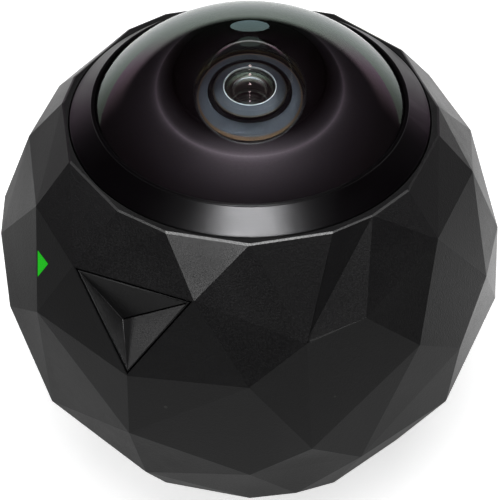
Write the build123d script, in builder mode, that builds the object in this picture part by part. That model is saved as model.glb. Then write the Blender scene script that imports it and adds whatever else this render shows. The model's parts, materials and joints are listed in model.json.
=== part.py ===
from build123d import *
import os
from math import cos, radians, sin, sqrt
from scipy.spatial import ConvexHull

# A 360 degree camera: a faceted ball, 61 mm across its corners, with one domed fisheye lens on top.
# The origin is on the ball's axis at the level that the camera stands on. +Z is up, out of the lens,
# and -Y is the front, where the record button is. All lengths are in millimetres.

# Faceted ball
ball_radius = 30.5
shell_wall = 2.2
rim_latitude = 43.5
seam_latitude = -43.5
base_latitude = -61.9
rim_bevel = 0.16
rim_bevel_angle = 27
valley_step = 0.5
valley_overrun = 1.5

# Front glass and the ring that holds it
rim_land = 0.17
bezel_bore_depth = 2.6
bezel_gap = 0.18
bezel_width = 2.42
bezel_overlap = 0.55
bezel_rise = 0.22
bezel_edge_bevel = 0.15
bezel_cone_rise = 2.25
bezel_lip_rise = 2.4
bezel_lip_width = 0.4
bezel_play = 0.2
bezel_relief = 0.1
dome_rise = 9.76
dome_edge_height = 0.9
dome_clearance = 0.08
o_ring_thickness = 0.6
o_ring_play = 0.02

# Lens barrel
ledge_width = 2.2
neck_height = 1.6
neck_play = 0.3
flange_play = 0.3
flange_seal_inset = 0.2
flange_seal_thickness = 0.5
flange_thickness = 1.0
seat_wall = 0.9
seat_rise = 1.5
shoulder_height = 2.3
barrel_radius = 11.5
cell_bore_depth = 3.0
middle_bore_radius = 7.0
rear_bore_radius = 5.5
exit_bore_radius = 4.0
exit_bore_depth = 1.5

# Lenses and the rings around them, from the front lens outwards and down
lens_play = 0.08
ring_play = 0.1
second_lens_radius = 4.6
second_lens_edge = 1.2
second_lens_rise = 2.0
second_lens_drop = 1.35
second_lens_bowl_radius = 3.4
second_lens_bowl_depth = 1.8
cell_ring_wall = 1.55
cell_ring_groove = 0.68
cell_ring_groove_rise = 0.2
cell_ring_edge_rise = 0.75
cell_ring_top_rise = 1.18
cell_ring_lip = 0.91
cell_ring_lip_height = 0.4
retainer_width = 0.9
outer_ring_wall = 2.0
outer_ring_edge_rise = 0.8
outer_ring_top_rise = 0.86
bowl_margin = 0.23
spacer_width = 2.6
spacer_height = 2.4
third_lens_edge = 3.0
third_lens_hollow = 0.9
third_lens_land = 1.3
stop_tube_wall = 1.3
stop_tube_height = 3.4
stop_thickness = 0.6
stop_aperture_radius = 1.3
rear_lens_edge = 3.6
rear_lens_bulge = 1.5
rear_lens_gap = 0.4

# Sensor stack
mount_height = 3.0
mount_roof = 0.8
mount_window_width = 12.0
filter_width = 9.5
filter_thickness = 0.4
sensor_length = 9.0
sensor_width = 7.0
sensor_thickness = 0.9
sensor_board_thickness = 1.0
sensor_screw_inset = 2.4
sensor_screw_bite = 1.8
small_screw_radius = 0.8
small_screw_head_radius = 1.4
small_screw_head_height = 0.7
small_screw_play = 0.02

# Main board
board_radius = 18.6
board_thickness = 1.0
board_gap = 2.4
board_screw_inset = 2.4
board_screw_bite = 1.0
standoff_height = 1.0
standoff_radius = 1.8
connector_length = 9.0
connector_width = 3.0
processor_width = 9.0
chip_height = 1.1
memory_length = 6.5
memory_width = 5.0
shield_length = 13.0
shield_width = 5.0
shield_height = 1.7
shield_wall = 0.2
microphone_length = 3.5
microphone_width = 2.6
microphone_hole_radius = 0.4

# Chassis and battery
chassis_rim = 0.6
chassis_thickness = 1.2
cradle_wall = 0.8
cradle_inset = 2.65
cradle_stop = 1.2
cradle_window_inset = 3.0
leg_radius = 2.4
leg_gap = 0.12
battery_play = 0.2
battery_fillet = 1.2
pad_thickness = 0.8
pad_radius = 6.0
antenna_thickness = 0.3
flex_width = 5.0
flex_thickness = 0.3
flex_gap = 0.4
flex_slot_play = 0.3

# Vibration motor
motor_radius = 2.0
motor_length = 6.0
motor_gap = 0.95
motor_holder_wall = 0.45
motor_holder_length = 4.6
motor_axis_height = 2.9
motor_play = 0.02
shaft_radius = 0.35
shaft_length = 1.0
shaft_play = 0.06
weight_radius = 2.1
weight_length = 3.0
weight_gap = 0.5

# Record button: a triangle that drops to an inner point, with a stem through the wall
button_margin = 0.12
button_gap = 0.2
button_travel = 0.4
button_head = 2.9
button_land = 0.18
button_dish = 2.0
pocket_start = 1.2
pocket_wall = 0.8
pocket_floor = 1.3
stem_radius = 1.5
stem_play = 0.08
stem_tail = 1.6
seal_width = 0.85
seal_height = 0.8
seal_play = 0.02
clip_width = 1.2
clip_thickness = 0.5
clip_play = 0.1
switch_cup_bore = 4.3
switch_cup_wall = 1.3
switch_width = 5.0
switch_height = 1.5
switch_board_thickness = 0.8
plunger_radius = 1.2
plunger_gap = 0.12
plunger_height = 0.6
plunger_depth = 0.5
plunger_travel = 0.3
plunger_play = 0.08

# Status light
light_play = 0.04
light_tail = 0.6
light_cup_bore = 2.4
light_cup_wall = 1.0
light_cup_depth = 2.0
light_board_thickness = 0.6
led_length = 1.8
led_width = 1.0
led_height = 0.7

# Underside
foot_stand = 0.3
foot_groove_depth = 0.7
foot_inset = 0.65
foot_width = 1.7
foot_play = 0.05
base_floor = 2.0
gasket_inset = 1.8
gasket_thickness = 0.56
gasket_play = 0.05
insert_radius = 4.6
insert_length = 5.5
insert_roof = 0.8
insert_wall = 1.8
insert_flange_width = 1.0
insert_flange_thickness = 0.8
insert_play = 0.02
tripod_thread_radius = 3.175
tripod_thread_length = 5.0
screw_inset = 5.12
screw_boss_wall = 1.3
screw_boss_height = 5.0
screw_web_width = 1.6
screw_web_inset = 1.1
screw_radius = 1.0
screw_play = 0.1
screw_thread_play = 0.02
screw_head_radius = 1.8
screw_head_height = 1.2
screw_head_play = 0.15
screw_head_wall = 0.85
screw_seat_thickness = 1.8
screw_bite = 3.5
screw_socket_radius = 0.8
screw_socket_depth = 0.7
contact_radius = 0.8
contact_recess = 0.1
contact_play = 0.02
contact_count = 4
contact_board_gap = 0.2
contact_board_thickness = 0.8

cut_overrun = 4.0

# Facet corners of the ball as (azimuth, latitude) in degrees. Azimuth 0 is the front, and it grows
# towards +X. The rim, the seam and the base have all their corners on one latitude.
button_left = (-47.7, 27.5)
button_right = (-13.6, 30.7)
button_low = (-27.5, 9.4)
light_high = (-69.2, 30.0)
light_low = (-55.3, 10.7)
valley_foot = (12.9, 21.4)
valley_side = (27.7, 23.7)
valley_azimuths = (24.6, 38.2)
rim_azimuths = (
    0, *valley_azimuths, 53.8, 81, 94.6, 124.5, 152.3, 180, 207.7, 221.5, 250.4, 263.7, 291.5, 318.2, 334.9,
)
upper_corners = (
    (54.5, 30.6), (82.5, 30.2), (105.5, 24.4), (123, 31), (138.5, 19), (152.3, 30.5), (166, 24),
    (180, 30.5), (200, 24), (222, 29), (243.5, 32), (262.2, 29.2),
)
middle_corners = (
    (-0.2, 11.9), (40.4, 11.3), (68.2, 10.9), (84, 12), (110.8, 8), (124.6, 14), (152, 11), (166, 3),
    (180, 12), (208, 10), (235.4, 13), (249, 2), (266.2, 12.7), (275.8, 9.9), (290.4, 0.7),
)
lower_corners = (
    (-27.6, -8.3), (13.7, -8.1), (0, -17.1), (26.7, -18), (53.8, -17.4), (53.6, 1.5), (77.9, -4.4),
    (96.9, -8), (83, -22), (110.8, -18), (124.6, -6), (138.5, -18), (152, -8), (180, -18), (193.8, -8),
    (207.7, -18), (221.5, -8), (235.4, -20), (263, -8), (249, -18), (276.9, -20), (303.1, -20.7),
)
bottom_corners = (
    (-27.3, -27.8), (12.9, -35.6), (69, -32), (97, -30), (124.6, -32), (152, -30), (180, -34),
    (207.7, -30), (235.4, -33), (263, -31), (290.8, -32),
)
ring_count = 13
ring_step = 360 / ring_count

# Places on a facet, as shares of its three corners in the order that they are named in
button_point_shares = (0.395, 0.12, 0.485)
light_shares = ((0.574, 0.03, 0.396), (0.316, 0.318, 0.366), (0.323, 0.022, 0.655))
dish_overrun_share = 1.3

# Places on the main board, as shares of its radius
processor_shares = (-0.3, 0)
memory_shares = ((0.3, 0.21), (0.3, -0.21))
connector_shares = (0, 0.5)
shield_shares = (0, -0.76)
microphone_shares = (0, 0.78)
screw_angles = (45, 135, 225, 315)

# The antenna's height as a share of the cradle's, and the contacts' place between the tripod insert and
# the foot ring and their spacing, as shares of that room and of the foot ring's radius
antenna_share = 0.64
contact_place_share = 0.467
contact_spacing_share = 0.224

# Radii worked out from the sizes above, from the rim of the shell inwards
rim_radius = ball_radius * cos(radians(rim_latitude))
rim_steps = [after - before for before, after in zip(rim_azimuths, (*rim_azimuths[1:], 360))]
rim_flat_radius = rim_radius * cos(radians(max(rim_steps) / 2))
bezel_bore_radius = rim_flat_radius - rim_land
bezel_radius = bezel_bore_radius - bezel_gap
dome_edge_radius = bezel_radius - bezel_width
dome_radius = (dome_edge_radius**2 + dome_rise**2) / (dome_rise + dome_rise)
seat_radius = dome_edge_radius + seat_wall
neck_radius = bezel_bore_radius - ledge_width
cell_ring_bore = second_lens_radius + lens_play
cell_ring_radius = cell_ring_bore + cell_ring_wall
outer_ring_bore = cell_ring_radius + ring_play
outer_ring_radius = outer_ring_bore + outer_ring_wall
cell_bore_radius = outer_ring_radius + ring_play
bowl_radius = cell_bore_radius + bowl_margin
middle_part_radius = middle_bore_radius - lens_play
rear_part_radius = rear_bore_radius - lens_play
mount_width = barrel_radius + barrel_radius
seam_radius = ball_radius * cos(radians(seam_latitude))
base_flat_radius = ball_radius * cos(radians(base_latitude)) * cos(radians(ring_step / 2))
cavity_radius = ball_radius - shell_wall
screw_hole_radius = screw_radius + screw_play
screw_boss_radius = screw_hole_radius + screw_boss_wall
screw_circle_radius = seam_radius - screw_inset
screw_places = [
    (screw_circle_radius * cos(radians(angle)), screw_circle_radius * sin(radians(angle)))
    for angle in screw_angles
]

# Levels, from the ground up to the ball's centre and rim, and from the lens down to the battery
base_level = foot_stand
centre_level = base_level - ball_radius * sin(radians(base_latitude))
seam_level = centre_level + ball_radius * sin(radians(seam_latitude))
rim_level = centre_level + ball_radius * sin(radians(rim_latitude))
ledge_level = rim_level - bezel_bore_depth
cavity_top_level = ledge_level - neck_height
cavity_floor_level = base_level + base_floor
flange_level = ledge_level + flange_seal_thickness
flange_top_level = flange_level + flange_thickness
seat_level = flange_top_level + seat_rise
shoulder_level = flange_level - shoulder_height
cell_floor_level = seat_level - cell_bore_depth
spacer_level = cell_floor_level - spacer_height
third_lens_level = spacer_level - third_lens_edge
stop_tube_level = third_lens_level - stop_tube_height
stop_level = stop_tube_level - stop_thickness
rear_lens_level = stop_level - rear_lens_gap - rear_lens_bulge - rear_lens_edge
barrel_level = rear_lens_level - exit_bore_depth
mount_level = barrel_level - mount_height
sensor_board_level = mount_level - sensor_board_thickness
board_top_level = sensor_board_level - board_gap
board_level = board_top_level - board_thickness
chassis_top_level = board_level - standoff_height
chassis_level = chassis_top_level - chassis_thickness
insert_top_level = base_level + insert_length
pad_level = insert_top_level + insert_roof
battery_level = pad_level + pad_thickness
battery_top_level = chassis_level - battery_play
boss_top_level = seam_level + screw_boss_height
screw_seat_level = seam_level - screw_seat_thickness
dome_top_level = seat_level + dome_edge_height + dome_rise

# The battery fills the room between the legs and the seam
cradle_width = (screw_places[0][1] - leg_radius - leg_gap) * 2
cradle_length = sqrt((seam_radius - cradle_inset) ** 2 - (cradle_width / 2) ** 2) * 2
cradle_room_length = cradle_length - cradle_wall - cradle_wall
cradle_room_width = cradle_width - cradle_wall - cradle_wall
battery_length = cradle_room_length - battery_play - battery_play
battery_width = cradle_room_width - battery_play - battery_play
cradle_height = chassis_level - battery_level - cradle_stop
flex_place = cradle_width / 2 + flex_gap + flex_thickness / 2


def on_ball(corner, radius=ball_radius):
    """The point in the direction (azimuth, latitude) at a distance from the ball's centre."""
    azimuth, latitude = (radians(angle) for angle in corner)
    level = centre_level + radius * sin(latitude)
    return Vector(radius * cos(latitude) * sin(azimuth), -radius * cos(latitude) * cos(azimuth), level)


def on_level(azimuth, radius, level):
    """The point at an azimuth, a distance from the axis and a height above the ground."""
    return Vector(radius * sin(radians(azimuth)), -radius * cos(radians(azimuth)), level)


def on_facet(corners, shares):
    """The point of a facet at the given shares of its corners."""
    first, second, third = corners
    return first * shares[0] + second * shares[1] + third * shares[2]


def facet_plane(corners):
    """The plane of a facet: origin at its middle, x along its first side and z out of the ball."""
    first, second, third = corners
    middle = on_facet(corners, (1 / 3, 1 / 3, 1 / 3))
    normal = (second - first).cross(third - first)
    if normal.dot(middle - Vector(0, 0, centre_level)) < 0:
        normal = normal * -1
    return Plane(origin=middle, x_dir=second - first, z_dir=normal)


def level_plane(level):
    """The level plane at a height above the ground."""
    return Plane.XY.offset(level)


def turn(*points, mode=Mode.ADD):
    """Turns a closed profile of (radius, level) points about the ball's axis."""
    with BuildSketch(Plane.XZ) as profile:
        with BuildLine():
            Polyline(*points, close=True)
        make_face()
    revolve(profile.sketch, axis=Axis.Z, mode=mode)


def ring(inner_radius, outer_radius, level, height, mode=Mode.ADD):
    """A flat ring about the ball's axis."""
    with BuildSketch(level_plane(level)) as outline:
        Circle(outer_radius)
        Circle(inner_radius, mode=Mode.SUBTRACT)
    extrude(outline.sketch, amount=height, mode=mode)


def discs(plane, radius, height, places=((0, 0),), mode=Mode.ADD):
    """Discs at places of a plane, their height along its normal."""
    with BuildSketch(plane) as outline:
        with Locations(*places):
            Circle(radius)
    extrude(outline.sketch, amount=height, mode=mode)


def blocks(plane, length, width, height, places=((0, 0),), mode=Mode.ADD):
    """Rectangular blocks at places of a plane, their height along its normal."""
    with BuildSketch(plane) as outline:
        with Locations(*places):
            Rectangle(length, width)
    extrude(outline.sketch, amount=height, mode=mode)


def outline_on(plane, corners, inset=0):
    """A polygon through the corners' places on a plane, drawn in by an inset."""
    local_corners = [plane.to_local_coords(corner) for corner in corners]
    with BuildSketch(plane) as outline:
        with BuildLine():
            Polyline(*[(corner.X, corner.Y) for corner in local_corners], close=True)
        make_face()
        if inset:
            offset(amount=-inset, kind=Kind.INTERSECTION)
    return outline.sketch


def board_place(shares):
    """A place on the main board from its shares of the board's radius."""
    return (board_radius * shares[0], board_radius * shares[1])


def finish(piece, name):
    """Labels a finished piece and writes it."""
    piece.part.label = name
    export_step(piece.part, f"parts/{name}.step")


class FacetedBody(BasePartObject):
    """A convex solid with flat facets, spanned by its corners."""

    def __init__(self, corners, mode=Mode.ADD):
        hull = ConvexHull([tuple(corner) for corner in corners])
        middle = sum(corners, Vector(0, 0, 0)) * (1 / len(corners))
        facets = []
        for first, second, third in hull.simplices:
            a, b, c = corners[first], corners[second], corners[third]
            if (b - a).cross(c - a).dot(a - middle) < 0:
                b, c = c, b
            facets.append(Face(Wire.make_polygon([a, b, c])))
        super().__init__(part=Solid(Shell(facets)).clean(), mode=mode)


os.makedirs("parts", exist_ok=True)

rim_corners = [(azimuth, rim_latitude) for azimuth in rim_azimuths]
valley_rim = [(azimuth, rim_latitude) for azimuth in valley_azimuths]
seam_corners = [(i * ring_step, seam_latitude) for i in range(ring_count)]
base_corners = [((i + 0.5) * ring_step, base_latitude) for i in range(ring_count)]
upper_half_corners = [
    button_left, button_right, button_low, light_high, light_low, valley_foot, valley_side,
    *rim_corners, *upper_corners, *middle_corners, *lower_corners, *bottom_corners, *seam_corners,
]

# The outside of the upper half: the facets, the valley beside the front and the bevelled rim
with BuildPart() as upper_ball:
    FacetedBody([on_ball(corner) for corner in upper_half_corners])
    # The valley's corners span two facets that meet in a crease below the ball's surface
    valley_top = [on_ball(corner) for corner in (*valley_rim, valley_side)]
    valley_bottom = on_ball(valley_foot, ball_radius - valley_step)
    valley_over = [
        on_ball(corner, ball_radius + valley_overrun) for corner in (*valley_rim, valley_side, valley_foot)
    ]
    FacetedBody([*valley_top, valley_bottom, *valley_over], mode=Mode.SUBTRACT)
    # A wide cone with the rim's own corners bevels the rim
    flare = (rim_level - seam_level) / sin(radians(rim_bevel_angle)) * cos(radians(rim_bevel_angle))
    cone_top = [on_level(azimuth, rim_radius - rim_bevel, rim_level) for azimuth in rim_azimuths]
    cone_foot = [on_level(azimuth, rim_radius - rim_bevel + flare, seam_level) for azimuth in rim_azimuths]
    FacetedBody([*cone_top, *cone_foot], mode=Mode.INTERSECT)

with BuildPart() as lower_ball:
    FacetedBody([on_ball(corner) for corner in (*seam_corners, *base_corners)])

# The hollow inside the two halves, parallel to their facets
with BuildPart() as hollow:
    FacetedBody([on_ball(corner, cavity_radius) for corner in (*upper_half_corners, *base_corners)])
    split(bisect_by=level_plane(cavity_top_level), keep=Keep.BOTTOM)
    split(bisect_by=level_plane(cavity_floor_level), keep=Keep.TOP)

# The facets that carry the button and the light
button_facet = [on_ball(corner) for corner in (button_left, button_right, button_low)]
button_plane = facet_plane(button_facet)
pocket_depth = button_head + button_travel
floor_depth = pocket_depth + pocket_floor
stem_depth = floor_depth + stem_tail
plunger_top_depth = stem_depth + plunger_gap
switch_depth = plunger_top_depth + plunger_height
cup_depth = switch_depth + switch_height
switch_cup_radius = switch_cup_bore + switch_cup_wall
pocket_plane = button_plane.offset(-pocket_depth)
floor_plane = button_plane.offset(-floor_depth)
switch_plane = button_plane.offset(-switch_depth)
cup_plane = button_plane.offset(-cup_depth)

light_facet = [on_ball(corner) for corner in (light_high, button_left, light_low)]
light_corners = [on_facet(light_facet, shares) for shares in light_shares]
light_plane = facet_plane(light_corners)
light_wall = (light_corners[0] - Vector(0, 0, centre_level)).dot(light_plane.z_dir) * shell_wall / ball_radius
light_wall_plane = light_plane.offset(-light_wall)
light_cup_plane = light_wall_plane.offset(-light_cup_depth)
light_cup_radius = light_cup_bore + light_cup_wall

with BuildPart() as body_shell:
    add(upper_ball.part)
    add(hollow.part, mode=Mode.SUBTRACT)
    # Walls of the button's pocket and of the cups for its switch and for the light
    boss_plane = button_plane.offset(-pocket_start)
    extrude(outline_on(boss_plane, button_facet, -pocket_wall), amount=pocket_start - floor_depth)
    discs(boss_plane, switch_cup_radius, pocket_start - cup_depth)
    discs(light_wall_plane, light_cup_radius, light_wall / 2)
    discs(light_wall_plane, light_cup_radius, -light_cup_depth)
    # Screw bosses, each with a web out to the wall
    discs(level_plane(seam_level), screw_boss_radius, screw_boss_height, screw_places)
    web_end = seam_radius - screw_web_inset
    with BuildSketch(level_plane(seam_level)) as webs:
        with PolarLocations((screw_circle_radius + web_end) / 2, len(screw_angles), screw_angles[0]):
            Rectangle(web_end - screw_circle_radius, screw_web_width)
    extrude(webs.sketch, amount=screw_boss_height)
    add(upper_ball.part, mode=Mode.INTERSECT)
    # The bore that takes the bezel down to its ledge, and the neck below it
    discs(level_plane(ledge_level), bezel_bore_radius, bezel_bore_depth + cut_overrun, mode=Mode.SUBTRACT)
    discs(level_plane(ledge_level), neck_radius, -neck_height, mode=Mode.SUBTRACT)
    # The button's pocket, stem hole, seal recess and switch room
    pocket = outline_on(pocket_plane, button_facet, button_margin)
    extrude(pocket, amount=pocket_depth + cut_overrun, mode=Mode.SUBTRACT)
    discs(pocket_plane, stem_radius + stem_play, -pocket_floor, mode=Mode.SUBTRACT)
    discs(pocket_plane, stem_radius + seal_width, -seal_height, mode=Mode.SUBTRACT)
    discs(cup_plane, switch_cup_bore, cup_depth - floor_depth, mode=Mode.SUBTRACT)
    # The light's window
    window_depth = light_wall + light_cup_depth
    extrude(outline_on(light_cup_plane, light_corners), amount=window_depth, mode=Mode.SUBTRACT)
    discs(light_cup_plane, light_cup_bore, light_cup_depth, mode=Mode.SUBTRACT)
    # Screw holes through the bosses
    discs(level_plane(seam_level), screw_hole_radius, screw_boss_height, screw_places, mode=Mode.SUBTRACT)
finish(body_shell, "body_shell")

# The lower cover: floor, tripod boss, screw bosses, gasket groove, foot groove and contact holes
foot_outer_radius = base_flat_radius - foot_inset
foot_inner_radius = foot_outer_radius - foot_width
gasket_radius = seam_radius - gasket_inset
groove_half_width = gasket_thickness / 2 + gasket_play
insert_boss_radius = insert_radius + insert_wall
insert_flange_radius = insert_radius + insert_flange_width
contact_place = insert_flange_radius + (foot_inner_radius - insert_flange_radius) * contact_place_share
contact_spacing = foot_inner_radius * contact_spacing_share
contact_places = [
    ((i - (contact_count - 1) / 2) * contact_spacing, contact_place) for i in range(contact_count)
]
screw_well_radius = screw_head_radius + screw_head_play

with BuildPart() as base_cover:
    cavity_depth = seam_level - cavity_floor_level
    add(lower_ball.part)
    add(hollow.part, mode=Mode.SUBTRACT)
    discs(level_plane(cavity_floor_level), screw_well_radius + screw_head_wall, cavity_depth, screw_places)
    add(lower_ball.part, mode=Mode.INTERSECT)
    discs(level_plane(cavity_floor_level), insert_boss_radius, pad_level - cavity_floor_level)
    base_plane = level_plane(base_level)
    discs(base_plane, insert_radius + insert_play, insert_length, mode=Mode.SUBTRACT)
    discs(base_plane, insert_flange_radius + insert_play, insert_flange_thickness, mode=Mode.SUBTRACT)
    seat_plane = level_plane(screw_seat_level)
    discs(seat_plane, screw_hole_radius, screw_seat_thickness, screw_places, mode=Mode.SUBTRACT)
    discs(seat_plane, screw_well_radius, -cavity_depth, screw_places, mode=Mode.SUBTRACT)
    groove_inner_radius = gasket_radius - groove_half_width
    groove_outer_radius = gasket_radius + groove_half_width
    ring(groove_inner_radius, groove_outer_radius, seam_level, -gasket_thickness, mode=Mode.SUBTRACT)
    foot_groove_inner = foot_inner_radius - foot_play
    foot_groove_outer = foot_outer_radius + foot_play
    ring(foot_groove_inner, foot_groove_outer, base_level, foot_groove_depth, mode=Mode.SUBTRACT)
    discs(base_plane, contact_radius + contact_play, base_floor, contact_places, mode=Mode.SUBTRACT)
finish(base_cover, "base_cover")

with BuildPart() as base_gasket:
    with BuildSketch(Plane.XZ) as gasket_section:
        with Locations((gasket_radius, seam_level - gasket_thickness / 2)):
            Circle(gasket_thickness / 2)
    revolve(gasket_section.sketch, axis=Axis.Z)
finish(base_gasket, "base_gasket")

with BuildPart() as foot_ring:
    foot_top_level = base_level + foot_groove_depth
    ring(foot_inner_radius, foot_outer_radius, foot_top_level, -foot_groove_depth - foot_stand)
finish(foot_ring, "foot_ring")

with BuildPart() as tripod_insert:
    discs(level_plane(base_level), insert_radius, insert_length)
    discs(level_plane(base_level), insert_flange_radius, insert_flange_thickness)
    discs(level_plane(base_level), tripod_thread_radius, tripod_thread_length, mode=Mode.SUBTRACT)
finish(tripod_insert, "tripod_insert")

with BuildPart() as base_screws:
    base_screw_length = boss_top_level + screw_bite - screw_seat_level
    discs(level_plane(screw_seat_level), screw_radius, base_screw_length, screw_places)
    discs(level_plane(screw_seat_level), screw_head_radius, -screw_head_height, screw_places)
    with BuildSketch(level_plane(screw_seat_level - screw_head_height)) as sockets:
        with Locations(*screw_places):
            RegularPolygon(screw_socket_radius, side_count=6)
    extrude(sockets.sketch, amount=screw_socket_depth, mode=Mode.SUBTRACT)
finish(base_screws, "base_screws")

with BuildPart() as charging_contacts:
    contact_level = base_level + contact_recess
    discs(level_plane(contact_level), contact_radius, cavity_floor_level - contact_level, contact_places)
finish(charging_contacts, "charging_contacts")

# The contacts' board reaches from the tripod boss to the outside of the flexible strip
with BuildPart() as contact_board:
    contact_board_start = insert_boss_radius + contact_board_gap
    contact_board_end = flex_place + flex_thickness / 2
    contact_board_length = contact_spacing * (contact_count + 1)
    contact_board_width = contact_board_end - contact_board_start
    contact_board_place = (0, (contact_board_start + contact_board_end) / 2)
    blocks(
        level_plane(cavity_floor_level), contact_board_length, contact_board_width, contact_board_thickness,
        [contact_board_place],
    )
finish(contact_board, "contact_board")

# The ring around the glass, turned from one bar, with the seals under it
with BuildPart() as lens_bezel:
    bezel_top_level = rim_level + bezel_rise
    bezel_bore = seat_radius + bezel_play
    lip_inner_radius = dome_edge_radius - bezel_overlap
    lip_outer_radius = lip_inner_radius + bezel_lip_width
    lip_level = rim_level + bezel_lip_rise
    relief_level = seat_level + dome_edge_height + bezel_relief
    seal_groove_radius = dome_edge_radius + o_ring_thickness + bezel_relief
    seal_groove_level = seat_level + o_ring_thickness + o_ring_play
    turn(
        (bezel_bore, flange_top_level),
        (bezel_radius, flange_top_level),
        (bezel_radius, bezel_top_level - bezel_edge_bevel),
        (bezel_radius - bezel_edge_bevel, bezel_top_level),
        (lip_outer_radius, rim_level + bezel_cone_rise),
        (lip_outer_radius, lip_level),
        (lip_inner_radius, lip_level),
        (lip_inner_radius, relief_level),
        (dome_edge_radius + dome_clearance, relief_level),
        (dome_edge_radius + dome_clearance, seal_groove_level),
        (seal_groove_radius, seal_groove_level),
        (seal_groove_radius, seat_level),
        (bezel_bore, seat_level),
    )
    with Locations((0, 0, dome_top_level - dome_radius)):
        Sphere(dome_radius + dome_clearance, mode=Mode.SUBTRACT)
finish(lens_bezel, "lens_bezel")

# The domed front glass: a sphere outside, half a ball hollowed out behind it
with BuildPart() as dome_lens:
    with BuildSketch(Plane.XZ) as dome_profile:
        with BuildLine():
            TangentArc((0, seat_level + bowl_radius), (bowl_radius, seat_level), tangent=(1, 0))
            Polyline(
                (bowl_radius, seat_level),
                (dome_edge_radius, seat_level),
                (dome_edge_radius, seat_level + dome_edge_height),
            )
            TangentArc((0, dome_top_level), (dome_edge_radius, seat_level + dome_edge_height), tangent=(1, 0))
            Line((0, dome_top_level), (0, seat_level + bowl_radius))
        make_face()
    revolve(dome_profile.sketch, axis=Axis.Z)
finish(dome_lens, "dome_lens")

with BuildPart() as dome_seal:
    o_ring_radius = o_ring_thickness / 2
    with BuildSketch(Plane.XZ) as o_ring_section:
        with Locations((dome_edge_radius + o_ring_play + o_ring_radius, seat_level + o_ring_radius)):
            Circle(o_ring_radius)
    revolve(o_ring_section.sketch, axis=Axis.Z)
finish(dome_seal, "dome_seal")

with BuildPart() as flange_seal:
    ring(neck_radius + flange_seal_inset, bezel_bore_radius - flange_play, ledge_level, flange_seal_thickness)
finish(flange_seal, "flange_seal")

# The barrel: a cup for the glass, a flange on the shell's ledge and a stepped bore for the lenses
with BuildPart() as lens_barrel:
    flange_radius = bezel_bore_radius - flange_play
    shoulder_radius = neck_radius - neck_play
    turn(
        (exit_bore_radius, barrel_level),
        (barrel_radius, barrel_level),
        (barrel_radius, shoulder_level),
        (shoulder_radius, shoulder_level),
        (shoulder_radius, flange_level),
        (flange_radius, flange_level),
        (flange_radius, flange_top_level),
        (seat_radius, flange_top_level),
        (seat_radius, seat_level),
        (cell_bore_radius, seat_level),
        (cell_bore_radius, cell_floor_level),
        (middle_bore_radius, cell_floor_level),
        (middle_bore_radius, stop_level),
        (rear_bore_radius, stop_level),
        (rear_bore_radius, rear_lens_level),
        (exit_bore_radius, rear_lens_level),
    )
finish(lens_barrel, "lens_barrel")

with BuildPart() as barrel_ring:
    turn(
        (outer_ring_bore, cell_floor_level),
        (outer_ring_radius, cell_floor_level),
        (outer_ring_radius, seat_level + outer_ring_edge_rise),
        (outer_ring_bore, seat_level + outer_ring_top_rise),
    )
finish(barrel_ring, "barrel_ring")

with BuildPart() as cell_ring:
    groove_radius = cell_ring_radius - cell_ring_groove
    lip_radius = cell_ring_bore - cell_ring_lip
    cell_top_level = seat_level + cell_ring_top_rise
    turn(
        (cell_ring_bore, cell_floor_level),
        (cell_ring_radius, cell_floor_level),
        (cell_ring_radius, seat_level + cell_ring_groove_rise),
        (groove_radius, seat_level + cell_ring_groove_rise),
        (groove_radius, seat_level + cell_ring_edge_rise),
        (lip_radius, cell_top_level),
        (lip_radius, cell_top_level - cell_ring_lip_height),
        (cell_ring_bore, cell_top_level - cell_ring_lip_height - cell_ring_lip),
    )
finish(cell_ring, "cell_ring")

with BuildPart() as second_lens:
    edge_level = seat_level - second_lens_drop
    edge_top_level = edge_level + second_lens_edge
    bowl_top = (0, edge_level + second_lens_bowl_depth)
    second_lens_top = (0, edge_top_level + second_lens_rise)
    with BuildSketch(Plane.XZ) as second_profile:
        with BuildLine():
            TangentArc(bowl_top, (second_lens_bowl_radius, edge_level), tangent=(1, 0))
            Polyline(
                (second_lens_bowl_radius, edge_level),
                (second_lens_radius, edge_level),
                (second_lens_radius, edge_top_level),
            )
            TangentArc(second_lens_top, (second_lens_radius, edge_top_level), tangent=(1, 0))
            Line(second_lens_top, bowl_top)
        make_face()
    revolve(second_profile.sketch, axis=Axis.Z)
finish(second_lens, "second_lens")

with BuildPart() as lens_retainer:
    retainer_height = cell_bore_depth - second_lens_drop
    ring(second_lens_radius - retainer_width, second_lens_radius, cell_floor_level, retainer_height)
finish(lens_retainer, "lens_retainer")

with BuildPart() as lens_spacer:
    ring(middle_part_radius - spacer_width, middle_part_radius, spacer_level, spacer_height)
finish(lens_spacer, "lens_spacer")

with BuildPart() as third_lens:
    discs(level_plane(third_lens_level), middle_part_radius, third_lens_edge)
    hollow_radius = middle_part_radius - third_lens_land
    hollows = ((third_lens_level, third_lens_hollow), (spacer_level, -third_lens_hollow))
    for hollow_level, hollow_depth in hollows:
        with BuildSketch(Plane.XZ) as hollow_profile:
            with BuildLine():
                TangentArc((0, hollow_level + hollow_depth), (hollow_radius, hollow_level), tangent=(1, 0))
                Polyline((hollow_radius, hollow_level), (0, hollow_level), (0, hollow_level + hollow_depth))
            make_face()
        revolve(hollow_profile.sketch, axis=Axis.Z, mode=Mode.SUBTRACT)
finish(third_lens, "third_lens")

with BuildPart() as stop_tube:
    ring(middle_part_radius - stop_tube_wall, middle_part_radius, stop_tube_level, stop_tube_height)
finish(stop_tube, "stop_tube")

with BuildPart() as aperture_stop:
    ring(stop_aperture_radius, middle_part_radius, stop_level, stop_thickness)
finish(aperture_stop, "aperture_stop")

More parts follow.
